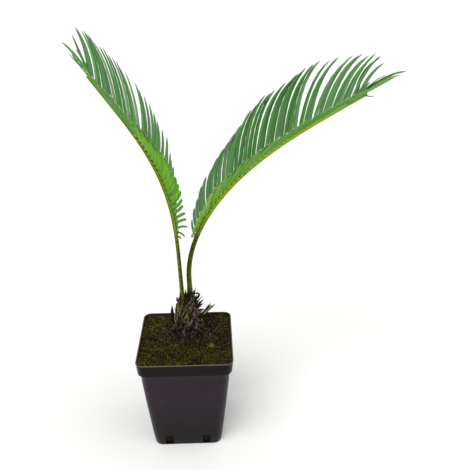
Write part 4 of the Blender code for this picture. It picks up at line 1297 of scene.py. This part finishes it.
def leaflet_lines(frond, rank):
    """One rank of leaflets, more and finer than the CAD's: each leaves the stalk and curls forward."""
    own = frond[rank]
    near = rank == "near"
    loose = RANKS[rank]["loose"]
    # Each rank draws its own numbers; both ranks of a frond share those of their yellow feet
    rng = random.Random(frond["seed"] * 7 + len(rank))
    tint = random.Random(frond["seed"])
    leafy = frond["straight"] + frond["arc"] - frond["bare"]
    narrowed = own["feet"] + (1.0,) * (len(LEAFLET_KNOTS) - 3)
    lines = []
    for index in range(frond["pairs"]):
        share = (index + 0.5 + rng.uniform(-0.07, 0.07)) / frond["pairs"]
        angle, lift, hook, foot, fill, length, curl = (
            between(share, LEAF_STATIONS, values)
            for values in (*(own[key] for key in ("angle", "lift", "hook", "foot", "fill")),
                           frond["length"], frond["curl"])
        )
        angle += rng.gauss(0.0, 0.5 * loose) + gap_push(own["gaps"], share)
        # Leaflets stand in loose pairs
        paired = (-1) ** index * frond["pairing"] * loose * rng.uniform(0.4, 1.0)
        angle = math.radians(angle + paired * clamped((share - 0.12) / 0.2))
        lift = math.radians(lift + rng.gauss(0.0, 1.2 * loose))
        curl = math.radians(curl + rng.gauss(0.0, 1.5 * loose))
        length = length * rng.uniform(0.97, 1.02) * between(share, *own["reach"])
        twist = math.radians(rng.gauss(own["twist"], 4.0))
        hook = math.radians(hook)
        points, upsides = leaflet_path(frond, rank, share, angle, lift, curl, hook, length, twist)
        droop = between(share, *own["droop"])
        points = [point - UP * droop * along * along for point, along in zip(points, LEAFLET_KNOTS)]

        # A blade fills its share of the stalk's length, seen square to the blade
        half = 0.5 * fill * leafy / frond["pairs"] * math.sin(max(angle, LEAST_ANGLE) + 0.2 * curl)
        half = min(half, WIDEST_HALF[0] + WIDEST_HALF[1] * length)
        grown = clamped((length - SHORT_LENGTH) / (LONG_LENGTH - SHORT_LENGTH))
        blunt = between(share, (0.25, 0.45), (1.0, 0.0)) if near else 0.0
        breadths = [short + grown * (long - short) for short, long in zip(SHORT_BREADTHS, LONG_BREADTHS)]
        widths = [half * narrow * (breadth + blunt * (broad - breadth))
                  for narrow, breadth, broad in zip(narrowed, breadths, BLUNT_BREADTHS)]
        if share < own["first"]:
            continue
        # The two finishes paint light on one half of the leaflet's fold and shade on the other
        shade, fellow = rng.choice([pairs for begin, pairs in own["shades"] if share >= begin][-1])
        lines.append({"points": points, "widths": widths, "upsides": upsides, "shade": shade,
                      "fellow": fellow, "foot": foot + tint.uniform(-0.06, 0.06)})
    for share, angle, lift, curl, hook, length, half, shade, fellow in own["extras"]:
        turns = [math.radians(turn) for turn in (angle, lift, curl, hook)]
        points, upsides = leaflet_path(frond, rank, share, *turns, length, 0.0)
        widths = [half * breadth for breadth in SHORT_BREADTHS]
        lines.append({"points": points, "widths": widths, "upsides": upsides, "shade": shade,
                      "fellow": fellow})
    return lines


def make_frond(key, frond):
    """A frond: its stalk, its spines and its two ranks of leaflets."""
    name = "frond_" + key
    sweep(name + "_stalk", [stalk_line(frond)], STALK_FINISHES[key][:1], STALK_SECTION, "petiole_green",
          name + "_petiole")
    sweep(name + "_spines", spine_lines(frond), ("spine_olive_brown",), THREAD_SECTION, "petiole_green")
    sides, thickness, fold = LEAFLET_SECTION
    for rank, look in RANKS.items():
        piece = name + "_leaflets_" + rank
        tree = blade_tree(piece, LEAFLET_FACES, "leaflet_foot_yellow", look["margin"], look["tip"])
        leaflets = grow(piece, line_mesh(piece, leaflet_lines(frond, rank)), tree, {
            "Sides": sides, "Thickness": thickness, "Fold": fold, "Under Step": len(LEAFLET_FACES) // 2,
            "Margin Start": MARGIN_START, "Tip Start": look["tip_start"],
        })
        finish_piece(leaflets, "leaflet_green", name + "_lower", name + "_upper")


def make_camera():
    data = bpy.data.cameras.new("photo_camera")
    data.sensor_width = SENSOR
    data.lens = FOCAL_PIXELS / PHOTO_SIDE * SENSOR
    data.clip_start = 0.01
    data.clip_end = 300.0
    camera = bpy.data.objects.new("photo_camera", data)
    camera.location = CAMERA_PLACE
    camera.rotation_euler = Euler((math.pi / 2 - CAMERA_PITCH, 0.0, -CAMERA_YAW))
    bpy.context.scene.collection.objects.link(camera)
    bpy.context.scene.camera = camera


def make_studio():
    """A pale floor, an even surround and two soft lights."""
    bm = bmesh.new()
    bmesh.ops.create_circle(bm, cap_ends=True, segments=96, radius=FLOOR_RADIUS)
    plain_mesh("studio_floor", bm, "studio_floor_matt")
    world = bpy.data.worlds.new("studio_surround")
    world.use_nodes = True
    feed(world.node_tree.nodes["Background"], {"Color": linear("ffffff"), "Strength": SURROUND})
    bpy.context.scene.world = world
    for name, (towards, strength, softness) in LIGHTS.items():
        data = bpy.data.lights.new(name, "SUN")
        data.energy = strength
        data.angle = math.radians(softness)
        light = bpy.data.objects.new(name, data)
        light.location = Vector(towards) * 2.0
        light.rotation_euler = Vector(towards).to_track_quat("Z", "Y").to_euler()
        bpy.context.scene.collection.objects.link(light)
    bpy.context.scene.view_settings.view_transform = "Standard"


make_finishes()
make_camera()
make_studio()
make_pot()
make_soil()
make_soil_crumbs()
make_caudex()
make_remains()
for side_name, frond_values in FRONDS.items():
    make_frond(side_name, frond_values)
